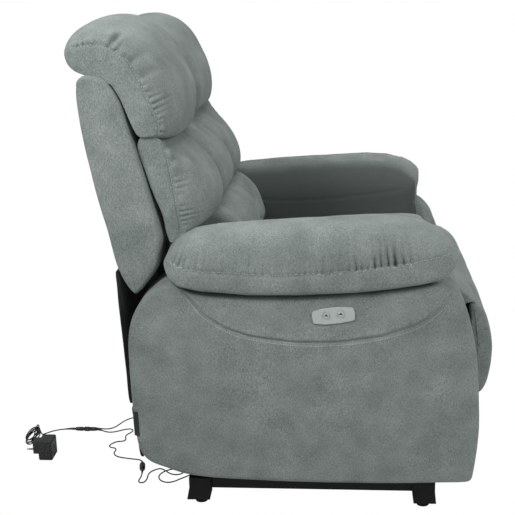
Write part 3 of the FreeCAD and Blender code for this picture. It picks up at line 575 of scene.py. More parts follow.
HANK = hank_points()
TO_ADAPTER = [(-638, -92, 9.5), (-633, -93, 5)]

cord_a = cord_curve("motor_cord_a", CORD_A)
cord_b_inner = cord_curve("motor_cord_b", CORD_B_INNER)
cord_b_outer = cord_curve("motor_cord_b_link", CORD_B_OUTER)
lead = cord_curve("adapter_lead", LEAD_OUT + HANK + TO_ADAPTER + LEAD_IN)
CORDS = ((cord_a, ["cord_a"]), (cord_b_inner, ["cord_b_inner"]), (cord_b_outer, ["cord_b_outer"]),
         (lead, ["adapter_lead_near", "adapter_lead_far", "adapter_lead_hank"]))
for curve, nodes in CORDS:
    placed(curve, "base")
    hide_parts(*nodes)


def length_of(obj):
    return float(walk(centre_line(obj))[-1]) * MM


RELIEF_STEPS = 27
RIB = 0.28


def relief(name, line, from_start=True, reach=26.0, thick=2.9):
    """Tapered, ribbed sleeve that follows the cord's line where it leaves a housing."""
    path = line if from_start else line[::-1]
    spots = at_distances(path, np.linspace(0, reach, RELIEF_STEPS))
    rings = []
    for i, spot in enumerate(spots):
        axis = Vector(spots[min(i + 1, RELIEF_STEPS - 1)] - spots[max(i - 1, 0)]).normalized()
        side = axis.cross(Vector((0.13, 0.2, 1))).normalized()
        share = i / (RELIEF_STEPS - 1)
        radius = (thick + (RIB if i % 4 in (1, 2) else 0.0)) * (1 - share) + 1.6 * share
        rings.append(circle(Vector(spot), side, axis.cross(side), radius, 20))
    return placed(grid_object(name, np.array(rings), "cord"), "base")


line_a, line_b = centre_line(cord_a), centre_line(cord_b_inner)
line_c, line_lead = centre_line(cord_b_outer), centre_line(lead)
reliefs = {
    "a": [relief("relief_cord_a", line_a), relief("relief_splitter_a", line_a, False, 14.0, 2.3)],
    "b": [relief("relief_cord_b", line_b), relief("relief_inline_b", line_b, False, 12.0, 2.4)],
    "c": [relief("relief_inline_c", line_c, True, 12.0, 2.4),
          relief("relief_splitter_c", line_c, False, 14.0, 2.3)],
    "lead": [relief("relief_splitter_lead", line_lead, True, 20.0, 2.4),
             relief("relief_adapter", line_lead, False, 20.0, 3.0)],
}

splitter = turned("splitter_body", SPLITTER_START, (-495, -11.5, 6.2),
                  [(0, 2.2), (1, 2.8), (8, 3.1), (9, 2.7), (11, 2.7), (12, 4.0), (13, 4.6), (29, 5.3), (30, 5.0),
                   (30.6, 4.3), (34, 4.3), (34.6, 5.2), (35.5, 5.8), (38, 5.8), (38.6, 5.4), (40, 5.4),
                   (40.6, 5.8), (45.5, 5.8), (46.5, 5.1), (57, 5.0), (60, 4.8), (65, 4.4), (66, 3.6)],
                  "adapter")
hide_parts("cord_splitter")
inline = turned("inline_body", INLINE_START, INLINE_END,
                [(0, 2.2), (0.6, 2.7), (5, 3.4), (6.5, 4.6), (8, 6.0), (9, 6.4), (18.5, 6.8), (19.5, 6.5),
                 (20, 5.7), (21.6, 5.7), (22.2, 6.5), (23.2, 6.8), (31, 6.3), (32.6, 5.6), (34.5, 3.6),
                 (38.9, 2.6), (39.6, 2.1)],
                "adapter")
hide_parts("inline_connector")


def boxed(name, low, high, bevel, material, segments=3):
    """Block with rounded edges between two corners (mm)."""
    bm = bmesh.new()
    bmesh.ops.create_cube(bm, size=1.0)
    size = [h - k for k, h in zip(low, high)]
    middle = [(h + k) / 2 for k, h in zip(low, high)]
    for v in bm.verts:
        v.co = Vector([(m + c * s) * MM for m, c, s in zip(middle, v.co, size)])
    bmesh.ops.bevel(bm, geom=list(bm.edges), offset=bevel * MM, segments=segments, affect="EDGES")
    mesh = bpy.data.meshes.new(name)
    bm.to_mesh(mesh)
    bm.free()
    mesh.polygons.foreach_set("use_smooth", [False] * len(mesh.polygons))
    return placed(linked(name, mesh, material), "base")


adapter = boxed("adapter_body", (-599.0, -172.0, 0.0), (-566.0, -126.0, 47.0), 1.6, "adapter")
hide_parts("power_adapter")
nose = boxed("adapter_nose", (-615, -161, 11), (-598.5, -135, 43), 1.2, "adapter")
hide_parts("adapter_plug_insert")
boxed("adapter_seam_rib", (-583.1, -172.2, 1.0), (-582.3, -125.8, 47.2), 0.15, "mark", 1)
for index, z in enumerate((17.5, 36.5)):
    turned("plug_sleeve_%d" % index, (-614, -148, z), (-634, -148, z), [(0, 1.95), (8.5, 1.9), (9.0, 1.7)],
           "adapter")
    turned("plug_pin_%d" % index, (-622.5, -148, z), (-634, -148, z),
           [(0, 1.85), (9.4, 1.85), (10.8, 1.5), (11.5, 0.7)], "pin")

length_of(cord_a)
length_of(cord_b_inner)
length_of(cord_b_outer)
length_of(lead)


# ------------------------------------------------------------------ arm panels
PANEL_COLS = 420
PANEL_INNER, PANEL_OUTER, PANEL_EDGE = 281.0, 409.6, 13.0
ARM_PANEL = [(-284, 126), (-245, 108), (-206, 95), (-153, 88), (-34, 82), (58, 80), (180, 80), (271, 82),
             (350, 85.5), (374, 86.5), (387, 88.5), (392, 93), (394.5, 104), (400, 152), (403, 204),
             (401, 277), (393, 370), (382, 425), (367, 474), (355, 494), (334, 514), (318, 520), (279, 512), (231, 505), (151, 498),
             (42, 491), (-60, 491), (-158, 498), (-196, 507), (-216, 518), (-237, 513), (-258, 499),
             (-280, 478), (-294, 457), (-305, 430), (-310, 404), (-312, 330), (-311, 267), (-307, 191),
             (-300, 150)]
PANEL_SEAM = [(-214, 530), (-199, 515), (-178, 484), (-154, 454), (-109, 424), (-59, 407), (31, 395),
              (121, 396), (204, 409), (279, 435), (317, 466), (331, 482), (342, 500)]
PANEL_FRONT_SEAM = [(372, 470), (383, 425), (391, 370), (396, 277), (397, 204), (394, 152), (388, 100)]


def arm_panel(side, sign):
    ring = spline_ring(ARM_PANEL, PANEL_COLS)
    outward = ring - ring.mean(0)
    outward /= np.linalg.norm(outward, axis=1, keepdims=True)
    rows = rounded_rows(PANEL_INNER, PANEL_OUTER, PANEL_EDGE, 8, 14)
    rings = np.array([ring_at(ring - outward * inset, y) for y, inset in rows])
    grid = np.concatenate([closing(rings[0], 11, 0.0, 0.02)[::-1], rings, closing(rings[-1], 117, 0.35, 0.004)])
    grid[:, :, 1] *= sign
    d, along, _ = distance_to(grid, across(PANEL_SEAM, sign * 410.0))
    shift = -3.6 * bell(d, 2.8) + 1.1 * bell(d - 8, 6.0)
    shift += gathers(d, along, 12.0, 15.0, 0.35, 1.3)
    e, _, _ = distance_to(grid, across(PANEL_FRONT_SEAM, sign * 408.0))
    shift += -0.9 * bell(e, 2.2)
    shift *= smooth(np.abs(grid[:, :, 1]), 396, 409)
    shift += 0.75 * lumps(grid, 95.0, 1.0 + sign) + 0.35 * lumps(grid, 34.0, 2.0 + sign)
    shift = np.where(np.abs(grid[:, :, 1]) < 300, 0, shift)
    obj = upholster("panel_cloth_" + side, grid, shift, "chair", ["arm_panel_" + side])
    below = [(x + 0.5, sign * 410.0, z - 5.2) for x, z in open_spline(PANEL_SEAM[1:-1], 90)]
    stitches("panel_stitch_" + side, obj, below, "chair", pitch=4.6, length=3.5, radius=0.6, lift=0.3)


for side, sign in SIDES:
    arm_panel(side, sign)

# ------------------------------------------------------------------ arm pads
PAD_TOP = [(-230, 566), (-222, 584), (-207, 600), (-190, 610), (-173, 617), (-125, 625), (-60, 631), (44, 637),
           (150, 642), (193, 644), (250, 640), (300, 629), (325, 617), (340, 605), (349, 594), (353, 585)]
PAD_BOTTOM = [(-230, 558), (-226, 545), (-219, 532), (-200, 517), (-158, 507), (-60, 499), (42, 499), (151, 505),
              (231, 514), (279, 521), (311, 529), (326, 532), (337, 541), (348, 560), (353, 581)]
PAD_SEAM = [(-229, 575), (-224, 571), (-213, 563), (-162, 549), (-89, 544), (-15, 540), (83, 543), (179, 553),
            (251, 563), (317, 577), (342, 588), (351, 592)]
PAD_INNER, PAD_OUTER = 237.0, 429.5
PAD_PROFILE = [(-0.90, 0.00), (-0.965, 0.04), (-0.995, 0.12), (-1.00, 0.24), (-0.985, 0.36), (-0.955, 0.50),
               (-0.895, 0.66), (-0.79, 0.81), (-0.62, 0.925), (-0.38, 0.98), (-0.10, 0.99), (0.20, 0.955),
               (0.46, 0.89), (0.70, 0.78), (0.87, 0.64), (0.965, 0.48), (1.00, 0.30), (1.00, 0.0), (0.99, -0.5),
               (0.97, -0.92), (0.91, -1.0), (0.85, -0.92), (0.83, -0.5), (0.81, -0.1), (0.70, 0.0),
               (0.40, 0.0), (0.0, 0.0), (-0.40, 0.0), (-0.72, 0.0)]
PAD_COLS, PAD_ROWS = 250, 420
APRON_Z = 456.0
PAD_REAR = -230.0
PAD_TIP = {"left": 347.0, "right": 357.0}
NARROWEST = 0.64


def paint_seat_side_shade(obj, sign):
    """Painted shade: vertices facing the seat get a weight that darkens the cloth there, standing in for the shade
    between the arms.
    """
    obj.data.update()
    values = []
    for vertex in obj.data.vertices:
        towards_seat = -vertex.normal.y * sign
        values.append(0.95 * float(smooth(towards_seat, 0.10, 0.65)))
    layer = obj.data.attributes.new("seat_side_shade", "FLOAT", "POINT")
    layer.data.foreach_set("value", values)


def pad_rows(side, sign):
    """Rings from the rear of the pad to its tip, each the profile fitted between bottom and top."""
    profile = spline_ring(PAD_PROFILE, PAD_COLS)
    top, bottom = np.array(PAD_TOP), np.array(PAD_BOTTOM)
    x0, x1 = PAD_REAR, PAD_TIP[side]
    turn = np.linspace(-math.pi / 2 + 0.012, math.pi / 2 - 0.012, PAD_ROWS)
    xs = (x0 + x1) / 2 + (x1 - x0) / 2 * np.sin(turn)
    tops = np.interp(xs, top[:, 0], top[:, 1])
    lows = np.interp(xs, bottom[:, 0], bottom[:, 1])
    centre = (PAD_OUTER + PAD_INNER) / 2
    rows = []
    for x, t, b in zip(xs, tops, lows):
        fade = max(0.0, min(1.0, (x - x0) / 55.0, (x1 - x) / 46.0))
        plan = math.sqrt(max(0.0, 1 - (1 - fade)**2))
        half = (PAD_OUTER - PAD_INNER) / 2 * (NARROWEST + (1 - NARROWEST) * plan)
        y = centre - profile[:, 0] * half
        z = np.where(profile[:, 1] < 0, b + profile[:, 1] * (b - APRON_Z), b + profile[:, 1] * (t - b))
        inwards = (PAD_OUTER - y) / (PAD_OUTER - PAD_INNER)
        tip = float(smooth(x, 190, 353)) * (24.0 * inwards + (11.0 if sign > 0 else 0.0))
        rows.append(np.stack([x - tip, y * sign, z], 1))
    return np.array(rows)


def pad_gathers(d, along, x, above, sign):
    """Bunches of puckers above the pad's seam and a few short ones below it."""
    strength = 0.32 + 1.15 * bell(x - 210, 62) + 1.0 * bell(x - 90, 30) + 0.55 * bell(x + 75, 48)
    strength += 0.4 * bell(x + 175, 30)
    pull = gathers(d, along, 46.0, 12.5, 10.0, 0.9 + sign) * strength
    pull += gathers(d, along, 34.0, 17.0, 6.0, 3.4 + sign) * strength
    pull += gathers(d, along, 40.0, 14.5, 9.0, 5.2 + sign) * bell(x - 88, 36)
    pull += gathers(d, along, 60.0, 34.0, 8.0, 2.4 + sign) * bell(x - 165, 100)
    under = gathers(d, along, 16.0, 14.0, 3.5, 1.9) * (0.3 + 0.8 * bell(x - 150, 80))
    return pull * above + under * (1 - above)


def arm_pad(side, sign):
    grid = pad_rows(side, sign)
    x, y, z = grid[:, :, 0], np.abs(grid[:, :, 1]), grid[:, :, 2]
    line = open_spline(PAD_SEAM, 60)
    d, along, away = distance_to(grid, across(line, sign * PAD_OUTER))
    above = smooth(away[:, :, 2], -1.0, 4.0)
    shift = pad_gathers(d, along, x, above, sign) * smooth(y, 340, 400)
    shift += 1.2 * bell(d - 9, 6) * above - 2.3 * bell(d, 2.4) * smooth(y, 395, 415)
    inner, _, _ = distance_to(grid, across(line, sign * PAD_INNER))
    shift += -1.6 * bell(inner, 2.4)
    shift += 1.7 * lumps(grid, 120.0, 4.0 + sign) + 0.55 * lumps(grid, 42.0, 5.0 + sign)
    bottom = np.array(PAD_BOTTOM)
    shift *= smooth(z - np.interp(x, bottom[:, 0], bottom[:, 1]), -4, 3)
    obj = upholster("arm_pad_cloth_" + side, grid, shift, "chair", ["arm_pad_" + side])
    # painted shade on the side of the pad facing the seat
    paint_seat_side_shade(obj, sign)
    row = [(px, sign * PAD_OUTER, pz + 2.6) for px, pz in open_spline(PAD_SEAM[1:-1], 120)]
    stitches("arm_pad_stitch_" + side, obj, row, "chair", pitch=5.4, length=3.8, radius=0.7, lift=0.4)


for side, sign in SIDES:
    arm_pad(side, sign)

ARM_INSIDE = [(-196, 400), (60, 398), (300, 398), (314, 404), (318, 430), (318, 505), (312, 530), (290, 545),
              (150, 548), (0, 545), (-150, 540), (-190, 530), (-198, 500)]


def arm_inside(side, sign):
    """Cloth on the seat side of the arm, between the seat and the pad."""
    rings = slab_rows(spline_ring(ARM_INSIDE, 240), 251.0, 261.5, 5.0, 6, 6)
    rings = [r * np.array([1, -1, 1]) + np.array([0, 512.5, 0]) for r in rings][::-1]
    grid = end_faces(rings, 30, 0.3)
    grid[:, :, 1] *= sign
    shift = 0.7 * lumps(grid, 70.0, 7.0 + sign)
    obj = upholster("arm_inside_cloth_" + side, grid, shift, "chair", ())
    # painted shade over the side facing the seat
    paint_seat_side_shade(obj, sign)


for side, sign in SIDES:
    arm_inside(side, sign)

# ------------------------------------------------------------------ backrest
SHELL = [(-298, 482), (-288, 488), (-267, 512), (-248, 540), (-243, 572), (-238, 600), (-252, 662),
         (-278, 770), (-291, 814), (-307, 873), (-322, 902), (-335, 918), (-353, 926.5), (-378, 926),
         (-390, 916), (-393, 895), (-392, 864), (-384, 793), (-366, 692), (-349, 618), (-331, 535), (-311, 494)]


def back_shell():
    grid = slab(SHELL, 300, 364.5, 9.0, 7, 34, 70, 0.4)
    shift = 0.8 * lumps(grid, 90.0, 11.0) + 0.35 * lumps(grid, 36.0, 12.0)
    front_edge = open_spline([(-240, 600), (-254, 662), (-280, 770), (-309, 870)], 30)
    rear_edge = open_spline([(-331, 535), (-349, 618), (-366, 692), (-384, 793), (-392, 880)], 30)
    for sign in (1, -1):
        d, _, _ = distance_to(grid, across(front_edge, sign * 353.0))
        shift += -1.3 * bell(d, 2.4)
        r, _, _ = distance_to(grid, across(rear_edge, sign * 352.0))
        shift += -0.8 * bell(r, 2.2)
    shift += -1.0 * bell(grid[:, :, 2] - 905, 2.6) * smooth(-grid[:, :, 0], 380, 388)
    upholster("back_shell_cloth", grid, shift, "backrest", ["back_shell"])


back_shell()

PILLOW_END = [(-405, 970), (-395, 980), (-376, 983), (-359, 985), (-340, 984), (-321, 977), (-308, 965),
              (-292, 959), (-280, 940), (-266, 911), (-255, 884), (-245, 858), (-236, 835), (-231, 823),
              (-236, 812), (-252, 808), (-266, 806), (-276, 810), (-288, 835), (-303, 874), (-319, 903),
              (-336, 922), (-365, 927), (-381, 930), (-396, 942)]
PILLOW_CREST = [(-427, 966), (-425, 985), (-415, 1003), (-388, 1023), (-355, 1034), (-321, 1035),
                (-285, 1024), (-254, 1003), (-228, 972), (-208, 932), (-194, 897), (-188, 862), (-191, 826),
                (-202, 798), (-222, 788), (-250, 789), (-275, 796), (-289, 820), (-305, 873), (-320, 906),
                (-336, 925), (-365, 929), (-400, 931), (-420, 943)]
PILLOW_HALF = 355.0


def piecewise_ring(outline, marks, counts):
    """Outline split at marked points, each stretch given its own count, so rings match."""
    fine = spline_ring(outline, 2400)
    spots = [int(np.argmin(np.linalg.norm(fine - np.array(m), axis=1))) for m in marks]
    pieces = []
    for i, count in enumerate(counts):
        a, b = spots[i], spots[(i + 1) % len(spots)]
        if b <= a:
            b += len(fine)
        stretch = np.take(fine, np.arange(a, b + 1), axis=0, mode="wrap")
        pieces.append(resample(stretch, count + 1, False)[:-1])
    return np.vstack(pieces)


def crowded_ys(half, flank_rows, middle_rows):
    """Ring places from side to side, crowded towards the two sewn ends."""
    flank = np.linspace(0.6, 0.97, flank_rows)[1:]
    one_side = np.concatenate([flank, 1 - 0.03 * np.linspace(1, 0, 15)[1:]**2])
    return half * np.concatenate([-one_side[::-1], np.linspace(-0.6, 0.6, middle_rows), one_side])


def round_off(y, half, turn, power):
    """1 over the middle of a cushion, falling to 0 at its sewn end."""
    t = max(0.0, (abs(y) - turn) / (half - turn))
    return math.sqrt(max(0.0, 1 - t**power))


def sewn_edge(grid, seam, inward, small, large, dent, swell):
    """Small and large puckers along a seam, its own dent and the swelling beside it."""
    d, along, _ = distance_to(grid, seam)
    pull = (gathers(d, along, *small) + gathers(d, along, *large)) * inward
    return pull - dent[0] * bell(d, dent[1]) + swell[0] * bell(d - swell[1], 6) * inward


def pillow_fold(grid, sign, inward):
    """Deep pleat that runs up and inwards from the corner of the end seam, and the boxing's seam."""
    fold = [(-321, sign * 353.0, 975), (-314, sign * 344.0, 990), (-300, sign * 330.0, 1006),
            (-284, sign * 312.0, 1014)]
    f, reach, _ = distance_to(grid, fold)
    shift = (-8.0 * bell(f, 5.5) + 3.5 * bell(f - 12, 8.0)) * (1 - 0.9 * smooth(reach, 14, 60))
    shift *= smooth(reach, 1, 12)
    corner = [(-318, sign * 353.0, 970), (-330, sign * 354.0, 950), (-345, sign * 354.0, 936)]
    c, _, _ = distance_to(grid, corner)
    return shift - 1.6 * bell(c, 3.5)


def head_pillow():
    counts = (80, 190, 80, 110)
    crest = piecewise_ring(PILLOW_CREST, [(-427, 966), (-321, 1035), (-194, 830), (-275, 796)], counts)
    end = piecewise_ring(PILLOW_END, [(-405, 970), (-321, 977), (-232, 826), (-280, 809)], counts)
    outward = np.stack([crest[:, 0] + 330, crest[:, 1] - 900], 1)
    outward /= np.linalg.norm(outward, axis=1, keepdims=True)
    facing = smooth(outward[:, 0] * 0.75 + outward[:, 1] * 0.66, -0.35, 0.45)
    rings = []
    for y in crowded_ys(PILLOW_HALF, 46, 110):
        share = round_off(y, PILLOW_HALF, 180.0, 2.5)
        channel = 44.0 * math.exp(-(abs(y) / 40.0)**1.15) + 9.0 * math.exp(-(abs(y) / 95.0)**2)
        sunk = 13.0 * smooth(y, 30, 110) * share + channel
        rings.append(ring_at(end + (crest - end) * share - outward * (facing * sunk)[:, None], y))
    grid = end_faces(rings, 46, 3.0)
    y = grid[:, :, 1]
    shift = -9.0 * bell(y, 7.0) * smooth(grid[:, :, 0] * 0.75 + grid[:, :, 2] * 0.66, 395, 470)
    inward = smooth(PILLOW_HALF - np.abs(y), 0.0, 0.7)
    for sign in (1, -1):
        seam = across(open_spline(PILLOW_END[1:15], 80), sign * PILLOW_HALF)
        shift += sewn_edge(grid, seam, inward, (17.0, 12.0, 6.5, 1.1 + sign), (34.0, 39.0, 4.5, 0.3 + sign),
                           (2.4, 2.5), (1.3, 10))
        shift += pillow_fold(grid, sign, inward)
    shift += 2.6 * lumps(grid, 130.0, 21.0) + 0.8 * lumps(grid, 45.0, 22.0)
    stretch = grid * np.array([1.0, 0.35, 1.0])
    shift += 0.7 * lumps(stretch, 17.0, 23.0) * smooth(120 - np.abs(y), 0, 100)
    obj = upholster("head_pillow_cloth", grid, shift, "backrest", ["head_pillow"])
    for side, sign in SIDES:
        row = across(open_spline(PILLOW_END[1:14], 100), sign * (PILLOW_HALF - 3.0))
        stitches("head_pillow_stitch_" + side, obj, row, "backrest", pitch=6.0, length=4.0, radius=0.7, lift=0.7)


head_pillow()

UPPER_END = [(-279, 788), (-269, 806), (-253, 813), (-238, 800), (-228, 780), (-221, 758), (-215, 721),
             (-209, 682), (-203, 634), (-200, 606), (-208, 590), (-222, 588), (-228, 604), (-233, 640),
             (-249, 680), (-266, 735)]
UPPER_CREST = [(-270, 788), (-252, 794), (-232, 786), (-213, 775), (-190, 757), (-160, 730), (-143, 700),
               (-134, 670), (-134, 645), (-142, 627), (-158, 619), (-190, 616), (-220, 614), (-238, 620),
               (-246, 645), (-254, 680), (-264, 735)]
LUMBAR_HALF = 347.0
TUFT = (-146.0, 120.0, 622.0)
UPPER_FOLD = [(-140, 116, 660), (-150, 108, 705), (-176, 98, 745), (-225, 88, 785)]
UPPER_FANS = [(-137, 145, 652), (-137, 96, 655), (-140, 170, 636), (-140, 74, 636)]
LOWER_FOLD = [(-118, 122, 600), (-92, 120, 560), (-78, 118, 520)]
LOWER_FANS = [(-106, 146, 600), (-106, 96, 600), (-122, 172, 616), (-122, 70, 616)]


def tuft_creases(grid, sign, fold, fans):
    """Folds that run out from the tuft: a long one up or down the pad and short fans beside it."""
    flip = np.array([1, sign, 1])
    start = np.array(TUFT) * flip
    d, along, _ = distance_to(grid, [start] + [np.array(spot) * flip for spot in fold])
    shift = -20.0 * np.exp(-(d / 13.0)**1.2) * (1 - 0.45 * smooth(along, 60, 190)) - 7.0 * bell(d, 34.0)
    for tip in fans:
        d, along, _ = distance_to(grid, [start, np.array(tip) * flip])
        shift += -4.0 * bell(d, 5.0) * (1 - 0.8 * smooth(along, 5, 38))
    return shift - 9.0 * bell(np.linalg.norm(grid - start, axis=2), 16.0)


def upper_lumbar():
    counts = (100, 180, 70, 80)
    crest = piecewise_ring(UPPER_CREST, [(-270, 788), (-190, 757), (-142, 627), (-238, 620)], counts)
    end = piecewise_ring(UPPER_END, [(-279, 788), (-228, 780), (-201, 612), (-226, 598)], counts)
    rings = []
    for y in crowded_ys(LUMBAR_HALF, 44, 130):
        rings.append(ring_at(end + (crest - end) * round_off(y, LUMBAR_HALF, 205.0, 2.4), y))
    grid = end_faces(rings, 44, 2.0)
    front = smooth(grid[:, :, 0] - np.interp(grid[:, :, 2], [600, 790], [-215, -262]), 0, 25)
    inward = smooth(LUMBAR_HALF - np.abs(grid[:, :, 1]), 0.0, 0.7)
    line = open_spline([(-250, 800), (-238, 792)] + UPPER_END[4:10], 70)
    shift = 2.2 * lumps(grid, 110.0, 31.0) + 0.8 * lumps(grid, 40.0, 32.0)
    for sign in (1, -1):
        shift += tuft_creases(grid, sign, UPPER_FOLD, UPPER_FANS) * front
        shift += sewn_edge(grid, across(line, sign * LUMBAR_HALF), inward, (15.0, 11.0, 5.0, 2.1 + sign),
                           (28.0, 31.0, 3.5, 1.3 + sign), (2.2, 2.4), (1.2, 9))
    obj = upholster("upper_lumbar_cloth", grid, shift, "backrest", ["upper_lumbar"])
    for side, sign in SIDES:
        row = across(open_spline(UPPER_END[3:10], 80), sign * (LUMBAR_HALF - 3.0))
        stitches("lumbar_stitch_" + side, obj, row, "backrest", pitch=5.4, length=3.7, radius=0.65, lift=0.6)


upper_lumbar()

LOWER_SIDE = [(-240, 622), (-215, 634), (-180, 636), (-150, 629), (-128, 621), (-108, 606), (-90, 583),
              (-78, 552), (-70, 520), (-76, 502), (-120, 499), (-200, 499), (-240, 503), (-241, 560)]


def lower_lumbar():
    grid = slab(LOWER_SIDE, 300, 223.0, 22.0, 12, 70, 40, 1.0)
    front = smooth(grid[:, :, 0], -190, -150)
    shift = 1.8 * lumps(grid, 90.0, 41.0) + 0.7 * lumps(grid, 36.0, 42.0)
    for sign in (1, -1):
        shift += tuft_creases(grid, sign, LOWER_FOLD, LOWER_FANS) * front
    upholster("lower_lumbar_cloth", grid, shift, "backrest", ["lower_lumbar"])


lower_lumbar()

# ------------------------------------------------------------------ seat and footrest
SEAT_SIDE = [(-211, 407), (0, 406), (200, 406), (336, 408), (340.5, 430), (340.5, 508), (330, 524),
             (312, 539), (285, 545), (220, 544), (100, 538), (0, 528), (-50, 516), (-70, 498), (-100, 494), (-205, 493)]


def seat_cushion():
    grid = slab(SEAT_SIDE, 320, 235.0, 1.0, 3, 60, 40, 1.0)
    grid[:, :, 2] -= smooth(grid[:, :, 2], 470, 500) * 46.0 * smooth(np.abs(grid[:, :, 1]), 55, 236)
    shift = 2.0 * lumps(grid, 110.0, 51.0) + 0.7 * lumps(grid, 40.0, 52.0)
    shift += -3.0 * bell(grid[:, :, 0] - 322, 4.0) * smooth(grid[:, :, 2], 500, 520)
    shift *= smooth(grid[:, :, 2], 410, 430)
    upholster("seat_cushion_cloth", grid, shift, "chair", ["seat_cushion"])


seat_cushion()

ROLL_SIDE = [(343, 412), (368, 411), (375, 434), (383, 448), (395, 456), (405.5, 459), (402.5, 470),
             (393, 487), (379, 502), (363, 511.5), (350, 513.5), (343, 509)]
PAD_SIDE = [(395, 228), (420, 229), (433, 248), (441.5, 285), (444.5, 325), (441, 363), (430, 404),
            (418, 434), (406, 447), (395, 446), (394.6, 400), (394.6, 280)]
FRONT_HALF = 271.0
END_DROP = 44.0


def front_pad(name, node, side_outline, body, seed, wrinkle):
    grid = slab(side_outline, 280, FRONT_HALF, 8.0, 8, 80, 36, 1.5)
    grid[:, :, 2] -= END_DROP * smooth(np.abs(grid[:, :, 1]), 50, FRONT_HALF) * smooth(grid[:, :, 2], 400, 512)
    shift = 1.3 * lumps(grid, 80.0, seed) + 0.6 * lumps(grid, 34.0, seed + 1)
    for boxing in (252.0, -252.0):
        shift += -1.6 * bell(grid[:, :, 1] - boxing, 2.4)
    seam = [(wrinkle[0], -FRONT_HALF, wrinkle[1]), (wrinkle[0], FRONT_HALF, wrinkle[1])]
    d, along, _ = distance_to(grid, seam)
    shift += gathers(d, along, 18.0, 19.0, 1.8, seed)
    if body == "footrest":
        shift *= smooth(grid[:, :, 0], 396, 404)
    upholster(name, grid, shift, body, [node])


front_pad("front_roll_cloth", "seat_front_roll", ROLL_SIDE, "chair", 61.0, (405, 458))
front_pad("footrest_pad_cloth", "footrest_pad", PAD_SIDE, "footrest", 71.0, (408, 446))

# ------------------------------------------------------------------ rear flap and lower rear panel
FLAP_SIDE = [(-323.5, 237), (-317.5, 240), (-323, 315), (-326.5, 393), (-329, 460), (-330, 500),
             (-331.5, 524), (-336.5, 530), (-337.5, 524), (-336.6, 500), (-335.6, 460), (-332.6, 393),
             (-329, 315)]
REAR_PANEL_SIDE = [(-307.5, 113), (-301.5, 113), (-308, 170), (-314.5, 229), (-320.5, 229), (-314, 170)]


def rear_piece(name, node, outline, body, seed):
    """Thin cloth-covered panel, lined in black on the side towards the chair."""
    grid = slab(outline, 180, 361.5, 2.5, 4, 60, 12, 0.2, 0.02)
    shift = 0.45 * lumps(grid, 60.0, seed) + 0.2 * lumps(grid, 25.0, seed + 1)
    for seam in (350.0, -350.0):
        shift += -0.7 * bell(grid[:, :, 1] - seam, 2.2)
    obj = upholster(name, grid, shift, body, [node], "lining")
    obj.data.materials.append(MATERIALS["cloth"])
    for face in obj.data.polygons:
        if face.normal.x < -0.75:
            face.material_index = 1


rear_piece("rear_flap_cloth", "rear_flap", FLAP_SIDE, "rear_flap", 81.0)
rear_piece("rear_panel_cloth", "rear_panel_lower", REAR_PANEL_SIDE, "chair", 91.0)

# ------------------------------------------------------------------ label, control plate and buttons
LABEL_TOP, LABEL_TALL, LABEL_WIDE, LABEL_THICK = 240.0, 54.0, 11.5, 0.8
LABEL_ROWS, LABEL_COLS = 18, 10


def cloth_label():
    """Blank woven label, sewn in along its rear edge and hanging down the arm."""
    front, rear = [], []
    for r in range(LABEL_ROWS):
        drop = LABEL_TALL * r / (LABEL_ROWS - 1)
        for c in range(LABEL_COLS):
            share = c / (LABEL_COLS - 1)
            x = -309.5 + LABEL_WIDE * share + 0.02 * drop
            bulge = 0.7 * math.sin(math.pi * share) + 0.25 * math.sin(r * 0.9)
            y = -410.2 - bulge + 3.5 * (1 - share)**3
            front.append((x * MM, y * MM, (LABEL_TOP - drop) * MM))
            rear.append((x * MM, (y + LABEL_THICK) * MM, (LABEL_TOP - drop) * MM))
    count = len(front)
    faces = []
    for a in range(count - LABEL_COLS):
        if a % LABEL_COLS < LABEL_COLS - 1:
            b = a + LABEL_COLS
            faces.append((a, a + 1, b + 1, b))
            faces.append((count + a, count + b, count + b + 1, count + a + 1))
    loop = list(range(LABEL_COLS)) + list(range(2 * LABEL_COLS - 1, count, LABEL_COLS))
    loop += list(range(count - 2, count - LABEL_COLS - 1, -1))
    loop += list(range(count - 2 * LABEL_COLS, 0, -LABEL_COLS))
    faces += [(a, count + a, count + b, b) for a, b in zip(loop, loop[1:] + loop[:1])]
    return placed(mesh_object("side_label", front + rear, faces, "label"), "chair")


label = cloth_label()

PLATE_EDGE = [(65.5, 450), (68.5, 437.5), (91, 435.5), (120, 438.3), (146, 444), (150.5, 446), (151, 459),
              (148, 470), (140, 472.2), (117, 472.6), (90, 469), (68, 463.5), (65.3, 459)]
BUTTONS = (("down", 94.0, 456.0), ("up", 123.0, 459.0))
HOLE_RADIUS = 6.35
HOLE_SIDES = 48
PLATE_BACK, PLATE_FACE = -410.2, -413.95


def vertex_loop(bm, spots, y):
    return [bm.verts.new((x * MM, y * MM, z * MM)) for x, z in spots]


def join_loops(bm, low, high):
    for a, b, c, d in zip(low, low[1:] + low[:1], high[1:] + high[:1], high):
        bm.faces.new((a, b, c, d))


def edges_of(bm, loop):
    return [bm.edges.get(pair) for pair in zip(loop, loop[1:] + loop[:1])]


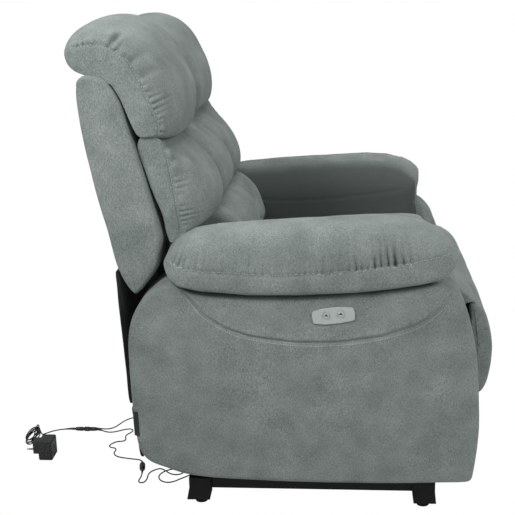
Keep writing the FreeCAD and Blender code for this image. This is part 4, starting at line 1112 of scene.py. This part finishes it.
def control_plate():
    """Plate with an eased edge and two open holes for the buttons."""
    ring = resample(PLATE_EDGE, 120, True)
    away = ring - ring.mean(0)
    away /= np.linalg.norm(away, axis=1, keepdims=True)
    bm = bmesh.new()
    levels = [(PLATE_BACK, 0.0), (-412.9, 0.0), (-413.6, 0.35), (PLATE_FACE, 1.1)]
    layers = [vertex_loop(bm, ring - away * inset, y) for y, inset in levels]
    for low, high in zip(layers[:-1], layers[1:]):
        join_loops(bm, low, high)
    face_edges, back_edges = edges_of(bm, layers[-1]), edges_of(bm, layers[0])
    turn = np.linspace(0, 2 * math.pi, HOLE_SIDES, endpoint=False)
    for _, bx, bz in BUTTONS:
        spots = [(bx + HOLE_RADIUS * math.cos(a), bz + HOLE_RADIUS * math.sin(a)) for a in turn]
        rim, deep = vertex_loop(bm, spots, PLATE_FACE), vertex_loop(bm, spots, PLATE_BACK)
        join_loops(bm, rim, deep)
        face_edges += edges_of(bm, rim)
        back_edges += edges_of(bm, deep)
    for edges in (face_edges, back_edges):
        bmesh.ops.triangle_fill(bm, use_beauty=True, use_dissolve=False, edges=edges)
    bmesh.ops.recalc_face_normals(bm, faces=bm.faces)
    mesh = bpy.data.meshes.new("control_plate_face")
    bm.to_mesh(mesh)
    bm.free()
    obj = placed(linked("control_plate_face", mesh, "plate"), "chair")
    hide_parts("control_plate")


control_plate()


def prism(name, outline, y_back, y_front, material, body):
    count = len(outline)
    vertices = [(x * MM, y * MM, z * MM) for y in (y_back, y_front) for x, z in outline]
    faces = [tuple(range(count)), tuple(range(2 * count - 1, count - 1, -1))]
    faces += [(i, (i + 1) % count, count + (i + 1) % count, count + i) for i in range(count)]
    return placed(mesh_object(name, vertices, faces, material, False), body)


ARROW = [(-4.4, 0.0), (4.4, 0.0), (4.4, 1.3), (1.7, 1.6), (1.5, 3.4), (0.0, 4.7), (-1.5, 3.4), (-1.7, 1.6),
         (-4.4, 1.3)]
for name, bx, bz in BUTTONS:
    button = turned("button_cap_" + name, (bx, -412.5, bz), (bx, -417.5, bz),
                    [(0, 5.98), (3.6, 5.98), (4.5, 5.7), (4.9, 5.0), (4.6, 3.6), (4.45, 0.5)],
                    "button", "button_" + name, 48)
    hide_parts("button_" + name)
    arrow = [(bx + x, bz - 1.6 + z) for x, z in ARROW]
    prism("button_mark_" + name, arrow, -416.6, -417.35, "mark", "button_" + name)

# ------------------------------------------------------------------ CAD pieces that stay
SLOT_FINISH = {"upholstery": "cloth", "liner": "lining", "ply": "wood", "frame_steel": "steel",
               "base_paint": "base", "foot_plastic": "foot", "motor_plastic": "motor", "rod_steel": "bright",
               "plate_plastic": "plate", "button_plastic": "button", "adapter_plastic": "adapter",
               "cord_rubber": "cord"}
# painted shade: the footrest board and front rail take the black lining so the gap between the arm and the front pads
# looks dark, as shade
SHADE_LINED = ("footrest_board", "front_rail")
for name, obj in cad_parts.items():
    for entry in obj.material_slots:
        found = entry.material.name.split(".")[0] if entry.material else ""
        entry.link = "OBJECT"
        entry.material = MATERIALS["lining" if name in SHADE_LINED else SLOT_FINISH.get(found, "steel")]

# ------------------------------------------------------------------ floor and light
AMBIENT = 0.42
FLOOR_GREY = 0.80


def seen_as(tree, lit, seen, output):
    """The camera sees one shader; every other ray meets the lit one."""
    ray = tree.nodes.new("ShaderNodeLightPath")
    choose = tree.nodes.new("ShaderNodeMixShader")
    tree.links.new(ray.outputs["Is Camera Ray"], choose.inputs[0])
    tree.links.new(lit.outputs[0], choose.inputs[1])
    tree.links.new(seen.outputs[0], choose.inputs[2])
    tree.links.new(choose.outputs[0], output.inputs["Surface"])


bpy.ops.mesh.primitive_plane_add(size=30, location=(0, 0, 0))
floor = bpy.context.object
floor.name = "floor"
floor_material, floor_nodes, _, floor_shader = tree_of("white_floor")
set_sockets(floor_shader, {"Base Color": (FLOOR_GREY, FLOOR_GREY, FLOOR_GREY, 1), "Roughness": 0.9})
white = floor_nodes.new("ShaderNodeEmission")
set_sockets(white, {"Strength": 1.0})
seen_as(floor_material.node_tree, floor_shader, white, floor_nodes["Material Output"])
floor.data.materials.append(floor_material)

world = bpy.data.worlds.new("white_world")
scene.world = world
world.use_nodes = True
sky = world.node_tree
backdrop = sky.nodes["Background"]
set_sockets(backdrop, {"Color": (1, 1, 1, 1), "Strength": 1.0})
fill = sky.nodes.new("ShaderNodeBackground")
set_sockets(fill, {"Color": (1, 1, 1, 1), "Strength": AMBIENT})
seen_as(sky, fill, backdrop, sky.nodes["World Output"])


def softbox(name, place, target, size, power):
    data = bpy.data.lights.new(name, "AREA")
    data.shape = "RECTANGLE"
    data.size, data.size_y = size
    data.energy = power
    obj = bpy.data.objects.new(name, data)
    obj.location = place
    obj.rotation_euler = (Vector(target) - Vector(place)).to_track_quat("-Z", "Y").to_euler()
    scene.collection.objects.link(obj)
    return obj


softbox("overhead", (0.0, 0.2, 3.0), (0, 0, 0.5), (1.5, 1.5), 24)
softbox("front_right", (2.2, -1.9, 2.2), (-0.2, 0, 0.8), (0.9, 0.9), 43)
beam = softbox("near_side", (-1.3, -1.5, 2.0), (-0.33, -0.35, 0.97), (0.7, 0.7), 3.6)
beam.data.spread = math.radians(48)
